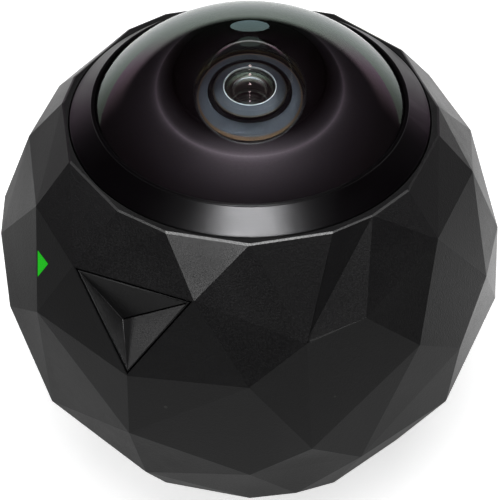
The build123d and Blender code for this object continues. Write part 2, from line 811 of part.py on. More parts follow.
with BuildPart() as rear_lens:
    rear_edge_level = rear_lens_level + rear_lens_edge
    rear_top = (0, rear_edge_level + rear_lens_bulge)
    with BuildSketch(Plane.XZ) as rear_profile:
        with BuildLine():
            TangentArc(rear_top, (rear_part_radius, rear_edge_level), tangent=(1, 0))
            Polyline(
                (rear_part_radius, rear_edge_level),
                (rear_part_radius, rear_lens_level),
                (0, rear_lens_level),
                rear_top,
            )
        make_face()
    revolve(rear_profile.sketch, axis=Axis.Z)
finish(rear_lens, "rear_lens")

# The sensor stack hangs under the barrel
sensor_screw_place = mount_width / 2 - sensor_screw_inset
sensor_screw_places = [(sensor_screw_place, sensor_screw_place), (-sensor_screw_place, -sensor_screw_place)]
small_hole_radius = small_screw_radius + small_screw_play

with BuildPart() as lens_mount:
    mount_plane = level_plane(mount_level)
    blocks(mount_plane, mount_width, mount_width, mount_height)
    blocks(mount_plane, mount_window_width, mount_window_width, mount_height - mount_roof, mode=Mode.SUBTRACT)
    discs(mount_plane, exit_bore_radius, mount_height, mode=Mode.SUBTRACT)
    discs(mount_plane, small_hole_radius, sensor_screw_bite, sensor_screw_places, mode=Mode.SUBTRACT)
finish(lens_mount, "lens_mount")

with BuildPart() as ir_filter:
    blocks(level_plane(barrel_level - mount_roof), filter_width, filter_width, -filter_thickness)
finish(ir_filter, "ir_filter")

with BuildPart() as image_sensor:
    blocks(level_plane(mount_level), sensor_length, sensor_width, sensor_thickness)
finish(image_sensor, "image_sensor")

with BuildPart() as sensor_board:
    sensor_board_plane = level_plane(sensor_board_level)
    blocks(sensor_board_plane, mount_width, mount_width, sensor_board_thickness)
    discs(
        sensor_board_plane, small_hole_radius, sensor_board_thickness, sensor_screw_places, mode=Mode.SUBTRACT
    )
finish(sensor_board, "sensor_board")

with BuildPart() as sensor_screws:
    sensor_screw_length = sensor_board_thickness + sensor_screw_bite
    discs(sensor_board_plane, small_screw_radius, sensor_screw_length, sensor_screw_places)
    discs(sensor_board_plane, small_screw_head_radius, -small_screw_head_height, sensor_screw_places)
finish(sensor_screws, "sensor_screws")

# The main board and what is on it
board_plane = level_plane(board_level)
board_top_plane = level_plane(board_top_level)
board_screw_circle = board_radius - board_screw_inset
board_screw_places = [
    (board_screw_circle * cos(radians(angle)), board_screw_circle * sin(radians(angle)))
    for angle in screw_angles
]

with BuildPart() as board_connector:
    blocks(board_top_plane, connector_length, connector_width, board_gap, [board_place(connector_shares)])
finish(board_connector, "board_connector")

with BuildPart() as main_board:
    discs(board_plane, board_radius, board_thickness)
    discs(board_plane, small_hole_radius, board_thickness, board_screw_places, mode=Mode.SUBTRACT)
finish(main_board, "main_board")

with BuildPart() as processor:
    blocks(board_top_plane, processor_width, processor_width, chip_height, [board_place(processor_shares)])
finish(processor, "processor")

with BuildPart() as memory_chips:
    memory_places = [board_place(shares) for shares in memory_shares]
    blocks(board_top_plane, memory_width, memory_length, chip_height, memory_places)
finish(memory_chips, "memory_chips")

with BuildPart() as shield_can:
    shield_place = board_place(shield_shares)
    shield_room_length = shield_length - shield_wall - shield_wall
    shield_room_width = shield_width - shield_wall - shield_wall
    blocks(board_top_plane, shield_length, shield_width, shield_height, [shield_place])
    blocks(
        board_top_plane, shield_room_length, shield_room_width, shield_height - shield_wall, [shield_place],
        mode=Mode.SUBTRACT,
    )
finish(shield_can, "shield_can")

with BuildPart() as microphone:
    microphone_place = board_place(microphone_shares)
    microphone_top_plane = level_plane(board_top_level + chip_height)
    blocks(board_top_plane, microphone_length, microphone_width, chip_height, [microphone_place])
    discs(
        microphone_top_plane, microphone_hole_radius, -chip_height / 2, [microphone_place], mode=Mode.SUBTRACT
    )
finish(microphone, "microphone")

with BuildPart() as board_screws:
    board_screw_length = board_thickness + standoff_height + board_screw_bite
    discs(board_top_plane, small_screw_radius, -board_screw_length, board_screw_places)
    discs(board_top_plane, small_screw_head_radius, small_screw_head_height, board_screw_places)
finish(board_screws, "board_screws")

# The chassis carries the main board on its standoffs and the battery in its cradle
chassis_plane = level_plane(chassis_level)

with BuildPart() as chassis:
    discs(chassis_plane, board_radius + chassis_rim, chassis_thickness)
    discs(level_plane(chassis_top_level), standoff_radius, standoff_height, board_screw_places)
    discs(chassis_plane, leg_radius, boss_top_level - chassis_level, screw_places)
    blocks(chassis_plane, cradle_length, cradle_width, -cradle_height)
    blocks(chassis_plane, cradle_room_length, cradle_room_width, -cradle_height, mode=Mode.SUBTRACT)
    # Windows in the cradle's long walls
    window_height = cradle_height - cradle_window_inset - cradle_window_inset
    window_place = (0, chassis_level - cradle_height / 2)
    blocks(
        Plane.XZ.offset(-cradle_width / 2), cradle_length / 2, window_height, cradle_width, [window_place],
        mode=Mode.SUBTRACT,
    )
    # The slot that lets the base's flexible strip through
    slot_length = flex_width + flex_slot_play + flex_slot_play
    slot_width = flex_thickness + flex_slot_play + flex_slot_play
    blocks(chassis_plane, slot_length, slot_width, chassis_thickness, [(0, flex_place)], mode=Mode.SUBTRACT)
    board_hole_depth = standoff_height + board_screw_bite
    discs(board_plane, small_hole_radius, -board_hole_depth, board_screw_places, mode=Mode.SUBTRACT)
    leg_hole_radius = screw_radius + screw_thread_play
    discs(level_plane(boss_top_level), leg_hole_radius, screw_bite, screw_places, mode=Mode.SUBTRACT)
finish(chassis, "chassis")

with BuildPart() as battery:
    blocks(level_plane(battery_level), battery_length, battery_width, battery_top_level - battery_level)
    fillet(battery.edges().filter_by(Axis.Z), radius=battery_fillet)
finish(battery, "battery")

with BuildPart() as battery_pad:
    discs(level_plane(pad_level), pad_radius, pad_thickness)
finish(battery_pad, "battery_pad")

# The antenna lies on the cradle's front wall, as long as the cradle is wide
with BuildPart() as antenna:
    antenna_height = cradle_height * antenna_share
    antenna_place = (0, chassis_level - antenna_height / 2)
    antenna_plane = Plane.XZ.offset(cradle_width / 2)
    blocks(antenna_plane, cradle_width, antenna_height, antenna_thickness, [antenna_place])
finish(antenna, "antenna")

with BuildPart() as base_flex:
    flex_level = cavity_floor_level + contact_board_thickness
    blocks(level_plane(flex_level), flex_width, flex_thickness, board_level - flex_level, [(0, flex_place)])
finish(base_flex, "base_flex")

# The vibration motor lies in a clip on the main board, and its half-round weight hangs at its end
motor_x = mount_width / 2 + motor_gap + motor_holder_wall + motor_radius
motor_level = board_top_level + motor_axis_height
motor_place = (motor_x, motor_level)
motor_plane = Plane.XZ.offset(-motor_length / 2)

with BuildPart() as vibration_motor:
    discs(motor_plane, motor_radius, motor_length, [motor_place])
    shaft_hole_radius = shaft_radius + shaft_play
    discs(motor_plane, shaft_hole_radius, shaft_length + shaft_play, [motor_place], mode=Mode.SUBTRACT)
finish(vibration_motor, "vibration_motor")

with BuildPart() as motor_holder:
    holder_radius = motor_radius + motor_holder_wall
    with BuildSketch(Plane.XZ.offset(-motor_holder_length / 2)) as holder_profile:
        with Locations(motor_place):
            Circle(holder_radius)
        with Locations((motor_x, motor_level - motor_axis_height / 2)):
            Rectangle(holder_radius + holder_radius, motor_axis_height)
        with Locations(motor_place):
            Circle(motor_radius + motor_play, mode=Mode.SUBTRACT)
    extrude(holder_profile.sketch, amount=motor_holder_length)
finish(motor_holder, "motor_holder")

with BuildPart() as vibration_weight:
    weight_plane = Plane.XZ.offset(-motor_length / 2 - weight_gap - weight_length)
    discs(weight_plane, shaft_radius, weight_length + weight_gap + shaft_length, [motor_place])
    with BuildSketch(weight_plane) as weight_profile:
        with Locations(motor_place):
            Circle(weight_radius)
        with Locations((motor_x, motor_level + weight_radius / 2)):
            Rectangle(weight_radius + weight_radius, weight_radius, mode=Mode.SUBTRACT)
    extrude(weight_profile.sketch, amount=weight_length)
finish(vibration_weight, "vibration_weight")

# The record button: a triangular cap whose three faces fall to one inner point, and its stem
head_inset = button_margin + button_gap

with BuildPart() as record_button:
    head_plane = button_plane.offset(-button_head)
    extrude(outline_on(head_plane, button_facet, head_inset), amount=button_head)
    discs(head_plane, stem_radius, button_head - stem_depth)
    dish = outline_on(button_plane, button_facet, head_inset + button_land)
    dish_point = on_facet(button_facet, button_point_shares) - button_plane.z_dir * button_dish
    dish_corners = [
        dish_point + (Vector(*vertex) - dish_point) * dish_overrun_share for vertex in dish.vertices()
    ]
    FacetedBody([dish_point, *dish_corners], mode=Mode.SUBTRACT)
finish(record_button, "record_button")

with BuildPart() as button_seal:
    discs(pocket_plane, stem_radius + seal_width - seal_play, -seal_height)
    discs(pocket_plane, stem_radius + seal_play, -seal_height, mode=Mode.SUBTRACT)
finish(button_seal, "button_seal")

with BuildPart() as button_clip:
    clip_plane = floor_plane.offset(-clip_play)
    discs(clip_plane, stem_radius + clip_width, -clip_thickness)
    discs(clip_plane, stem_radius, -clip_thickness, mode=Mode.SUBTRACT)
finish(button_clip, "button_clip")

with BuildPart() as tact_switch:
    blocks(switch_plane, switch_width, switch_width, -switch_height)
    discs(switch_plane, plunger_radius + plunger_play, -plunger_depth - plunger_travel, mode=Mode.SUBTRACT)
finish(tact_switch, "tact_switch")

with BuildPart() as switch_plunger:
    discs(switch_plane.offset(plunger_height), plunger_radius, -plunger_height - plunger_depth)
finish(switch_plunger, "switch_plunger")

with BuildPart() as switch_board:
    discs(cup_plane, switch_cup_radius, -switch_board_thickness)
finish(switch_board, "switch_board")

# The status light: a clear triangle through the wall, with its lamp behind it
with BuildPart() as status_light:
    extrude(outline_on(light_plane, light_corners, light_play), amount=-light_wall - light_tail)
finish(status_light, "status_light")

with BuildPart() as status_led:
    blocks(light_cup_plane, led_length, led_width, led_height)
finish(status_led, "status_led")

with BuildPart() as light_board:
    discs(light_cup_plane, light_cup_radius, -light_board_thickness)
finish(light_board, "light_board")
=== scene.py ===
import json
from math import cos, pi, radians, sin

import bmesh
import bpy
import numpy as np
from bpy.props import FloatProperty, FloatVectorProperty, PointerProperty
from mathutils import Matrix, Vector

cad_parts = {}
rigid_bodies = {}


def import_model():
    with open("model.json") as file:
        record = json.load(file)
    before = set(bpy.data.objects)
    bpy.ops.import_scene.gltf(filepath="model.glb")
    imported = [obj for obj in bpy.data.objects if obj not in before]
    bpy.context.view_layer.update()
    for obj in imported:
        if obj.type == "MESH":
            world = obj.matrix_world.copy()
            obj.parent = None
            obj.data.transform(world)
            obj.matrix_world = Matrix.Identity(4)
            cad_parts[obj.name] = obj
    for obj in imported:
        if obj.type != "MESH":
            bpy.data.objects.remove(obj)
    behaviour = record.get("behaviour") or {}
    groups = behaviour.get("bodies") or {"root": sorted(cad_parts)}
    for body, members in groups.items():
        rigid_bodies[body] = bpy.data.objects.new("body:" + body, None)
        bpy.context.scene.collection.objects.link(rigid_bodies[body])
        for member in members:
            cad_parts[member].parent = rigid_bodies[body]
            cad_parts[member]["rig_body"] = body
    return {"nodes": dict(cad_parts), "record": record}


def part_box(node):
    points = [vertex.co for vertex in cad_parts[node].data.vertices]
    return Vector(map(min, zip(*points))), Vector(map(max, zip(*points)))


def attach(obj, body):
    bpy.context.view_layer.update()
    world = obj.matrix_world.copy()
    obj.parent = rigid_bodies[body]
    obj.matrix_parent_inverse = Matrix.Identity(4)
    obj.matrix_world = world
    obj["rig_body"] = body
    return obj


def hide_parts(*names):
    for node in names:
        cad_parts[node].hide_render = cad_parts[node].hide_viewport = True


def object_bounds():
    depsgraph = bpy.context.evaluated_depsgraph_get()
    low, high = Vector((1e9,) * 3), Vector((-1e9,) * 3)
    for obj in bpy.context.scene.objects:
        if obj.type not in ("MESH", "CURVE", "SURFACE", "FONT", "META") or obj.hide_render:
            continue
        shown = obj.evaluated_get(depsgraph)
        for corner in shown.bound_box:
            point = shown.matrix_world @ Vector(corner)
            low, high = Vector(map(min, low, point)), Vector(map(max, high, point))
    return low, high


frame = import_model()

bl_info = {
    "name": "Faceted Ball Camera",
    "version": (1, 0, 0),
    "blender": (4, 5, 0),
    "location": "3D View > Sidebar > Ball Camera",
    "description": "Gives a faceted 360 degree camera its glass, turned rings, softened shell and finishes",
    "category": "Object",
}

MM = 0.001
NODES = frame["nodes"]
SLOT_OF = {part["node"]: part["material_slot"] for part in frame["record"]["subparts"]}
CAD_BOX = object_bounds()
DOME_LOW, DOME_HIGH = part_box("dome_lens")
SHELL_LOW, SHELL_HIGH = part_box("body_shell")
BALL_CENTRE = Vector((0, 0, (SHELL_HIGH.z + SHELL_LOW.z) / 2))
# Points nearer than this are one point, in a new mesh and in a CAD mesh
SAME_POINT = 1e-7
SAME_CAD_POINT = 3e-6
# Faces of a CAD mesh that meet below the first angle are joined, and edges above the second may be rounded
FLAT_ANGLE = radians(0.25)
EDGE_ANGLE = radians(2.5)
# Smooth shading stops at a facet's edge from this angle
FACET_ANGLE = radians(1)
# Lamp colours
PLAIN = (1.0, 1.0, 1.0)
COOL = (0.83, 1.0, 1.24)


def length(name, description, default):
    """A length property in metres."""
    return FloatProperty(
        name=name, description=description, default=default, unit="LENGTH", subtype="DISTANCE", precision=6
    )


def share(name, description, default):
    """A property between nothing and all."""
    return FloatProperty(name=name, description=description, default=default, min=0, max=1, subtype="FACTOR")


def colour(name, description, default):
    """A colour property in linear light."""
    return FloatVectorProperty(
        name=name, description=description, default=default, size=3, min=0, max=1, subtype="COLOR"
    )


class ShellSettings(bpy.types.PropertyGroup):
    """Soft-touch black shell, cover and button"""

    shell_colour: colour("Shell colour", "Colour of the soft-touch shell", (0.003, 0.003, 0.0032))
    cover_colour: colour("Cover colour", "Colour of the lower cover", (0.0046, 0.0046, 0.0048))
    button_colour: colour("Button colour", "Colour of the record button", (0.004, 0.004, 0.0042))
    edge_softness: length("Edge softness", "Width of the rounding along the facets' edges", 0.2 * MM)
    button_softness: length("Button softness", "Width of the rounding along the button's edges", 0.06 * MM)
    shell_reach: length("Shell reach", "Distance from the centre past which shell edges are rounded", 29 * MM)
    cover_reach: length("Cover reach", "The same distance for the lower cover's edges", 29.8 * MM)
    button_reach: length("Button reach", "The same distance for the button's edges", 25.6 * MM)
    crease_width: length("Crease width", "Width of the groove along the button's crease", 0.36 * MM)
    crease_depth: length("Crease depth", "Depth of the groove along the button's crease", 0.7 * MM)
    grain_size: length("Grain size", "Size of the moulded grain", 0.2 * MM)
    grain_depth: length("Grain depth", "Depth of the moulded grain", 0.03 * MM)
    roughness: share("Roughness", "Roughness of the soft-touch coat", 0.36)


class GlassSettings(bpy.types.PropertyGroup):
    """Front glass and the lenses behind it"""

    edge_height: length("Edge height", "Height of the front glass's straight edge", 0.9 * MM)
    bowl_radius: length("Bowl radius", "Radius and depth of the hollow behind the front glass", 8.66 * MM)
    paint_lift: length("Paint lift", "Thickness of the black paint under the front glass", 0.02 * MM)
    # Peak colour of the painted glow beside the bowl, which stands in for light; the paint itself is black
    painted_glow_colour: colour("Painted glow colour", "Colour of the paint beside the bowl", (0.105, 0.084, 0.101))
    paint_slope: share("Paint slope", "Slope of the ground cone that carries the paint", 0.6)
    index: FloatProperty(name="Index", description="Refractive index of the lens glass", default=1.7)
    film: FloatProperty(name="Film", description="Thickness of the lens coating in nanometres", default=396)
    second_edge: length("Second lens edge", "Height of the second lens's straight edge", 1.2 * MM)
    second_bowl_radius: length("Second bowl radius", "Radius of the second lens's hollow", 3.4 * MM)
    second_bowl_depth: length("Second bowl depth", "Depth of the second lens's hollow", 1.8 * MM)
    third_land: length("Third lens land", "Flat edge round the third lens's hollows", 1.3 * MM)
    third_hollow: length("Third lens hollow", "Depth of the third lens's hollows", 0.9 * MM)
    rear_bulge: length("Rear lens bulge", "Height of the rear lens's domed face", 1.5 * MM)
    chamfer: length("Chamfer", "Rounding of the glass edges", 0.12 * MM)


class RingSettings(bpy.types.PropertyGroup):
    """Turned rings round the glass and the lenses"""

    bezel_colour: colour("Bezel colour", "Colour of the anodised bezel", (0.07, 0.07, 0.072))
    ring_colour: colour("Ring colour", "Colour of the anodised lens rings", (0.05, 0.056, 0.068))
    edge_colour: colour("Ring edge colour", "Colour of the rings' thin outer edges", (0.085, 0.055, 0.035))
    inner_edge_colour: colour("Inner edge colour", "Colour of the inner ring's edge", (0.05, 0.042, 0.034))
    lip_colour: colour("Lip colour", "Colour of the polished lip round the small lens", (0.75, 0.77, 0.8))
    bezel_edge: length("Bezel edge", "Height of the bezel's outer bevel", 0.15 * MM)
    bezel_cone: length("Bezel cone", "Height of the cone above the bezel's edge", 2.03 * MM)
    lip_width: length("Lip width", "Width of the bezel's inner lip", 0.4 * MM)
    lip_height: length("Lip height", "Height of the bezel's inner lip", 0.15 * MM)
    lip_overlap: length("Lip overlap", "How far the bezel's lip reaches over the glass", 0.55 * MM)
    glass_gap: length("Glass gap", "Gap between the bezel and the glass", 0.08 * MM)
    foot_wall: length("Foot wall", "Wall of the bezel's foot outside the glass", 1.1 * MM)
    ledge_width: length("Ledge width", "Width of the bezel's ledge round the glass", 0.7 * MM)
    ledge_height: length("Ledge height", "Height of that ledge above the glass's seat", 0.62 * MM)
    outer_bore: length("Outer bore", "Bore radius of the outer lens ring", 6.33 * MM)
    outer_edge_height: length("Outer edge height", "Height of the outer lens ring's edge", 0.8 * MM)
    outer_edge_width: length("Outer edge width", "Width of the outer lens ring's tinted edge", 0.33 * MM)
    inner_bore: length("Inner bore", "Bore radius of the inner lens ring", 4.68 * MM)
    inner_edge_height: length("Inner edge height", "Height of the inner lens ring's edge", 0.75 * MM)
    inner_edge_width: length("Inner edge width", "Width of the inner lens ring's tinted edge", 0.2 * MM)
    step_width: length("Step width", "Width of the inner lens ring's outer step", 0.68 * MM)
    step_height: length("Step height", "Height of the inner lens ring's outer step", 0.2 * MM)
    lip_reach: length("Lip reach", "How far the inner ring's lip reaches into its bore", 0.91 * MM)
    lip_wall: length("Lip wall", "Thickness of the inner ring's lip", 0.4 * MM)
    lip_fall: length("Lip fall", "Fall of the slope below the inner ring's lip", 1.31 * MM)
    rounding: length("Rounding", "Rounding of the turned edges", 0.07 * MM)
    groove_pitch: length("Turning pitch", "Distance between the turning lines", 0.045 * MM)


class LightSettings(bpy.types.PropertyGroup):
    """Green status light"""

    glow_colour: colour("Glow colour", "Colour of the lit status light", (0.005, 0.47, 0.004))
    glow_strength: FloatProperty(name="Glow strength", description="Brightness of the lit light", default=1.0)


class UndersideSettings(bpy.types.PropertyGroup):
    """Foot ring, tripod thread and contacts"""

    foot_rounding: length("Foot rounding", "Rounding of the foot ring's edges", 0.25 * MM)
    foot_width: length("Foot width", "Width of the foot ring", 1.7 * MM)
    foot_groove: length("Foot groove", "Depth of the grooves in the foot ring's tread", 0.12 * MM)
    thread_pitch: length("Thread pitch", "Pitch of the tripod thread, 20 to the inch", 1.27 * MM)
    thread_depth: length("Thread depth", "Depth of the tripod thread", 0.62 * MM)
    thread_bore: length("Thread bore", "Radius of the tripod thread's bore", 3.175 * MM)
    thread_height: length("Thread height", "Depth of the tripod thread's bore", 5.0 * MM)
    contact_radius: length("Contact radius", "Radius of the charging contacts", 0.8 * MM)
    contact_dome: length("Contact dome", "Height of the contacts' rounded tips", 0.1 * MM)


class StageSettings(bpy.types.PropertyGroup):
    """Floor, lamps and camera"""

    floor_colour: colour("Floor colour", "Colour of the pale floor", (0.86, 0.86, 0.86))
    camera_distance: length("Camera distance", "Distance from the ball's centre", 0.3)
    lamp_distance: length("Lamp distance", "Distance of the lamps from the ball's centre", 0.6)
    camera_height: FloatProperty(
        name="Camera height", description="Angle above the horizon", default=radians(42.8),
        unit="ROTATION", subtype="ANGLE",
    )
    focal_length: FloatProperty(
        name="Focal length", description="Focal length on a 36 mm wide sensor", default=176.37
    )
    shift_right: FloatProperty(
        name="Shift right", description="Shift of the view to the right, in picture widths", default=0.0002
    )
    shift_up: FloatProperty(
        name="Shift up", description="Shift of the view upwards, in picture widths", default=-0.0042
    )


GROUPS = {
    "shell": ShellSettings, "glass": GlassSettings, "rings": RingSettings,
    "light": LightSettings, "underside": UndersideSettings, "stage": StageSettings,
}


class BallCameraSettings(bpy.types.PropertyGroup):
    """All settings of the ball camera"""

    shell: PointerProperty(type=ShellSettings, name="Shell", description="Shell, cover and button")
    glass: PointerProperty(type=GlassSettings, name="Glass", description="Front glass and lenses")
    rings: PointerProperty(type=RingSettings, name="Rings", description="Bezel and lens rings")
    light: PointerProperty(type=LightSettings, name="Light", description="Status light")
    underside: PointerProperty(type=UndersideSettings, name="Underside", description="Foot and contacts")
    stage: PointerProperty(type=StageSettings, name="Stage", description="Floor, lamps and camera")


# Shapes


def rounded_profile(points, rounding, steps=5):
    """Rounds the corners of a closed profile of (radius, height) points. Each corner becomes a short
    parabola: (1 - t)^2 times the point before it, plus 2 t (1 - t) times the corner, plus t^2 times the
    point after it, where both points lie on the neighbouring sides at the rounding's distance, or at 0.4
    of a shorter side."""
    points = np.asarray(points, float)
    before = np.roll(points, 1, 0) - points
    after = np.roll(points, -1, 0) - points
    before_length = np.linalg.norm(before, axis=1, keepdims=True)
    after_length = np.linalg.norm(after, axis=1, keepdims=True)
    start = points + before / before_length * np.minimum(rounding, before_length * 0.4)
    end = points + after / after_length * np.minimum(rounding, after_length * 0.4)
    t = np.linspace(0, 1, steps)[None, :, None]
    curve = (1 - t) ** 2 * start[:, None] + 2 * t * (1 - t) * points[:, None] + t**2 * end[:, None]
    return curve.reshape(-1, 2)


def arc_profile(top_height, edge_radius, edge_height, steps):
    """Points (radius, height) of the round arc that is level at (0, top height) and ends at (edge radius,
    edge height). The arc's radius is (a^2 + h^2) / 2h for a half width a and a rise h."""
    rise = top_height - edge_height
    arc_radius = (edge_radius**2 + rise**2) / (2 * rise)
    turn = np.linspace(0, np.arcsin(min(1, edge_radius / abs(arc_radius))), steps)
    return np.stack((abs(arc_radius) * np.sin(turn), top_height - arc_radius * (1 - np.cos(turn))), 1)


def grid_faces(rows, columns, is_loop=False):
    """Corner numbers of the quads between neighbouring points of a grid, row by row. Each row is a ring of
    points, and in a loop the last row joins the first."""
    row = np.arange(rows if is_loop else rows - 1)[:, None]
    column = np.arange(columns)[None, :]
    next_row, next_column = (row + 1) % rows, (column + 1) % columns
    corners = (
        row * columns + column, row * columns + next_column,
        next_row * columns + next_column, next_row * columns + column,
    )
    return np.stack([np.broadcast_to(corner, (row.size, column.size)).ravel() for corner in corners], 1)


def new_piece(name, points, faces, body, sharp_angle=40):
    """A piece on a body from points and quads, with its double points merged and its faces outwards."""
    mesh = bpy.data.meshes.new(name)
    mesh.vertices.add(len(points))
    mesh.vertices.foreach_set("co", np.asarray(points, np.float32).ravel())
    mesh.loops.add(faces.size)
    mesh.loops.foreach_set("vertex_index", faces.ravel().astype(np.int32))
    mesh.polygons.add(len(faces))
    mesh.polygons.foreach_set("loop_start", np.arange(0, faces.size, faces.shape[1], dtype=np.int32))
    mesh.update(calc_edges=True)
    mesh.validate()
    shape = bmesh.new()
    shape.from_mesh(mesh)
    bmesh.ops.remove_doubles(shape, verts=shape.verts, dist=SAME_POINT)
    if shape.calc_volume(signed=True) < 0:
        bmesh.ops.reverse_faces(shape, faces=shape.faces)
    shape.to_mesh(mesh)
    shape.free()
    mesh.polygons.foreach_set("use_smooth", np.ones(len(mesh.polygons), bool))
    mesh.set_sharp_from_angle(angle=radians(sharp_angle))
    return placed(name, mesh, body)


def placed(name, mesh, body):
    """An object for a mesh, at the origin, that rides on a body."""
    piece = bpy.data.objects.new(name, mesh)
    bpy.context.scene.collection.objects.link(piece)
    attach(piece, body)
    return piece


def turned_points(profile, segments, centre=(0, 0)):
    """A profile of (radius, height) points carried round an upright axis: each point lies at
    radius * cos(turn), radius * sin(turn), height for turns from nothing to the full circle."""
    turn = np.arange(segments) * (2 * pi / segments)
    radius, height = np.asarray(profile, float).T
    x = centre[0] + radius[:, None] * np.cos(turn)
    y = centre[1] + radius[:, None] * np.sin(turn)
    return np.stack((x, y, np.repeat(height[:, None], segments, 1)), -1).reshape(-1, 3)


def turned_piece(name, profile, body, segments=160, sharp_angle=40, is_loop=True):
    """A piece turned from a profile of (radius, height) points: a ring from a loop, or else a solid whose
    profile starts and ends on the axis."""
    faces = grid_faces(len(profile), segments, is_loop)
    return new_piece(name, turned_points(profile, segments), faces, body, sharp_angle)


def far_out(edge, reach):
    """True for an edge whose two ends are further from the ball's centre than a reach."""
    return all((end.co - BALL_CENTRE).length > reach for end in edge.verts)


def softened_copy(node, name, softness, is_outer_edge, is_joined=True):
    """A copy of a CAD node with its loose triangles merged and, where asked, its flat faces joined. A live
    bevel rounds the edges that the given test picks out."""
    mesh = NODES[node].data.copy()
    mesh.name = name
    shape = bmesh.new()
    shape.from_mesh(mesh)
    bmesh.ops.remove_doubles(shape, verts=shape.verts, dist=SAME_CAD_POINT)
    if is_joined:
        bmesh.ops.dissolve_limit(shape, angle_limit=FLAT_ANGLE, verts=shape.verts, edges=shape.edges)
    weight = shape.edges.layers.float.new("bevel_weight_edge")
    for edge in shape.edges:
        if len(edge.link_faces) == 2 and edge.calc_face_angle(0) > EDGE_ANGLE and is_outer_edge(edge):
            edge[weight] = 1
    shape.to_mesh(mesh)
    shape.free()
    if "custom_normal" in mesh.attributes:
        mesh.attributes.remove(mesh.attributes["custom_normal"])
    mesh.polygons.foreach_set("use_smooth", np.ones(len(mesh.polygons), bool))
    mesh.set_sharp_from_angle(angle=FACET_ANGLE)
    piece = placed(name, mesh, NODES[node]["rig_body"])
    bevel = piece.modifiers.new("Soft edges", "BEVEL")
    bevel.limit_method = "WEIGHT"
    bevel.width = softness
    bevel.segments = 2
    bevel.use_clamp_overlap = True
    bevel.harden_normals = True
    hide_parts(node)
    return piece


# Nodes of the finishes


def add(tree, kind, inputs=None, **settings):
    """Adds a node with its settings, and links or sets its inputs."""
    made = tree.nodes.new(kind)
    for setting, value in settings.items():
        setattr(made, setting, value)
    for socket, value in (inputs or {}).items():
        if isinstance(value, bpy.types.NodeSocket):
            tree.links.new(value, made.inputs[socket])
        else:
            made.inputs[socket].default_value = value
    return made


def maths(tree, operation, first, second=0.0, clamp=False):
    """One calculation on values."""
    return add(tree, "ShaderNodeMath", {0: first, 1: second}, operation=operation, use_clamp=clamp).outputs[0]


def times(tree, first, second):
    """The product of two values."""
    return maths(tree, "MULTIPLY", first, second)


def plus(tree, first, second, clamp=False):
    """The sum of two values."""
    return maths(tree, "ADD", first, second, clamp)


def one_over(tree, value):
    """The inverse of a value, which turns a size into a scale."""
    return maths(tree, "DIVIDE", 1.0, value)


def xyz(tree, vector):
    """The three parts of a vector."""
    return add(tree, "ShaderNodeSeparateXYZ", {0: vector}).outputs


def from_axis(tree, place):
    """The distance from the ball's axis."""
    parts = xyz(tree, place)
    return maths(tree, "SQRT", plus(tree, times(tree, parts[0], parts[0]), times(tree, parts[1], parts[1])))


def scaled(base, factor):
    """A colour made lighter or darker, up to full white."""
    return [min(1, channel * factor) for channel in base]


def spread(tree, value, low, high, to_low=0.0, to_high=1.0):
    """Spreads a range of values smoothly over another range."""
    inputs = {"Value": value, "From Min": low, "From Max": high, "To Min": to_low, "To Max": to_high}
    return add(tree, "ShaderNodeMapRange", inputs, interpolation_type="SMOOTHSTEP").outputs["Result"]


def mix_colours(tree, factor, first, second):
    """Mixes two colours by a mask."""
    first, second = (
        value if isinstance(value, bpy.types.NodeSocket) else (*value[:3], 1) for value in (first, second)
    )
    return add(tree, "ShaderNodeMix", {0: factor, 6: first, 7: second}, data_type="RGBA").outputs[2]


def mix_values(tree, factor, first, second):
    """Mixes two values by a mask."""
    return add(tree, "ShaderNodeMix", {0: factor, 2: first, 3: second}, data_type="FLOAT").outputs[0]


def effect(name, defaults, outputs):
    """An empty node group that takes a place and values and puts out values, and its two end nodes."""
    tree = bpy.data.node_groups.new(name, "ShaderNodeTree")
    tree.interface.new_socket(name="Place", in_out="INPUT", socket_type="NodeSocketVector")
    for label, value in defaults.items():
        socket = tree.interface.new_socket(name=label, in_out="INPUT", socket_type="NodeSocketFloat")
        socket.default_value = value
    for label in outputs:
        tree.interface.new_socket(name=label, in_out="OUTPUT", socket_type="NodeSocketFloat")
    return tree, tree.nodes.new("NodeGroupInput").outputs, tree.nodes.new("NodeGroupOutput").inputs


def noise(tree, place, scale, detail, rough):
    """A noise pattern's value."""
    inputs = {"Vector": place, "Scale": scale, "Detail": detail, "Roughness": rough}
    return add(tree, "ShaderNodeTexNoise", inputs).outputs[0]


def fine_grain():
    """Fine pebbled grain of a moulded or coated surface."""
    tree, given, out = effect("Fine grain", {"Size": 0.0002}, ["Height", "Shade"])
    scale = one_over(tree, given["Size"])
    fine = noise(tree, given["Place"], scale, 2.0, 0.55)
    coarse = noise(tree, given["Place"], times(tree, scale, 0.31), 1.0, 0.5)
    tree.links.new(plus(tree, times(tree, fine, 0.75), times(tree, coarse, 0.25)), out["Height"])
    tree.links.new(spread(tree, fine, 0.36, 0.66), out["Shade"])
    return tree


def handling_marks():
    """Broad soft patches, as skin leaves on a matt surface."""
    tree, given, out = effect("Handling marks", {"Size": 0.02}, ["Mask"])
    scale = one_over(tree, given["Size"])
    inputs = {"Vector": given["Place"], "Scale": scale, "Detail": 3.0, "Distortion": 0.6}
    patch = add(tree, "ShaderNodeTexNoise", inputs)
    tree.links.new(spread(tree, patch.outputs[0], 0.38, 0.68), out["Mask"])
    return tree


def settled_dust():
    """Small dust specks, picked out of a cell pattern."""
    tree, given, out = effect("Settled dust", {"Size": 0.001, "Amount": 0.05}, ["Mask"])
    scale = one_over(tree, given["Size"])
    cells = add(tree, "ShaderNodeTexVoronoi", {"Vector": given["Place"], "Scale": scale})
    chance = add(tree, "ShaderNodeSeparateColor", {0: cells.outputs["Color"]}).outputs[0]
    chosen = maths(tree, "GREATER_THAN", given["Amount"], chance)
    speck = spread(tree, cells.outputs["Distance"], 0.10, 0.16, 1.0, 0.0)
    tree.links.new(times(tree, speck, chosen), out["Mask"])
    return tree


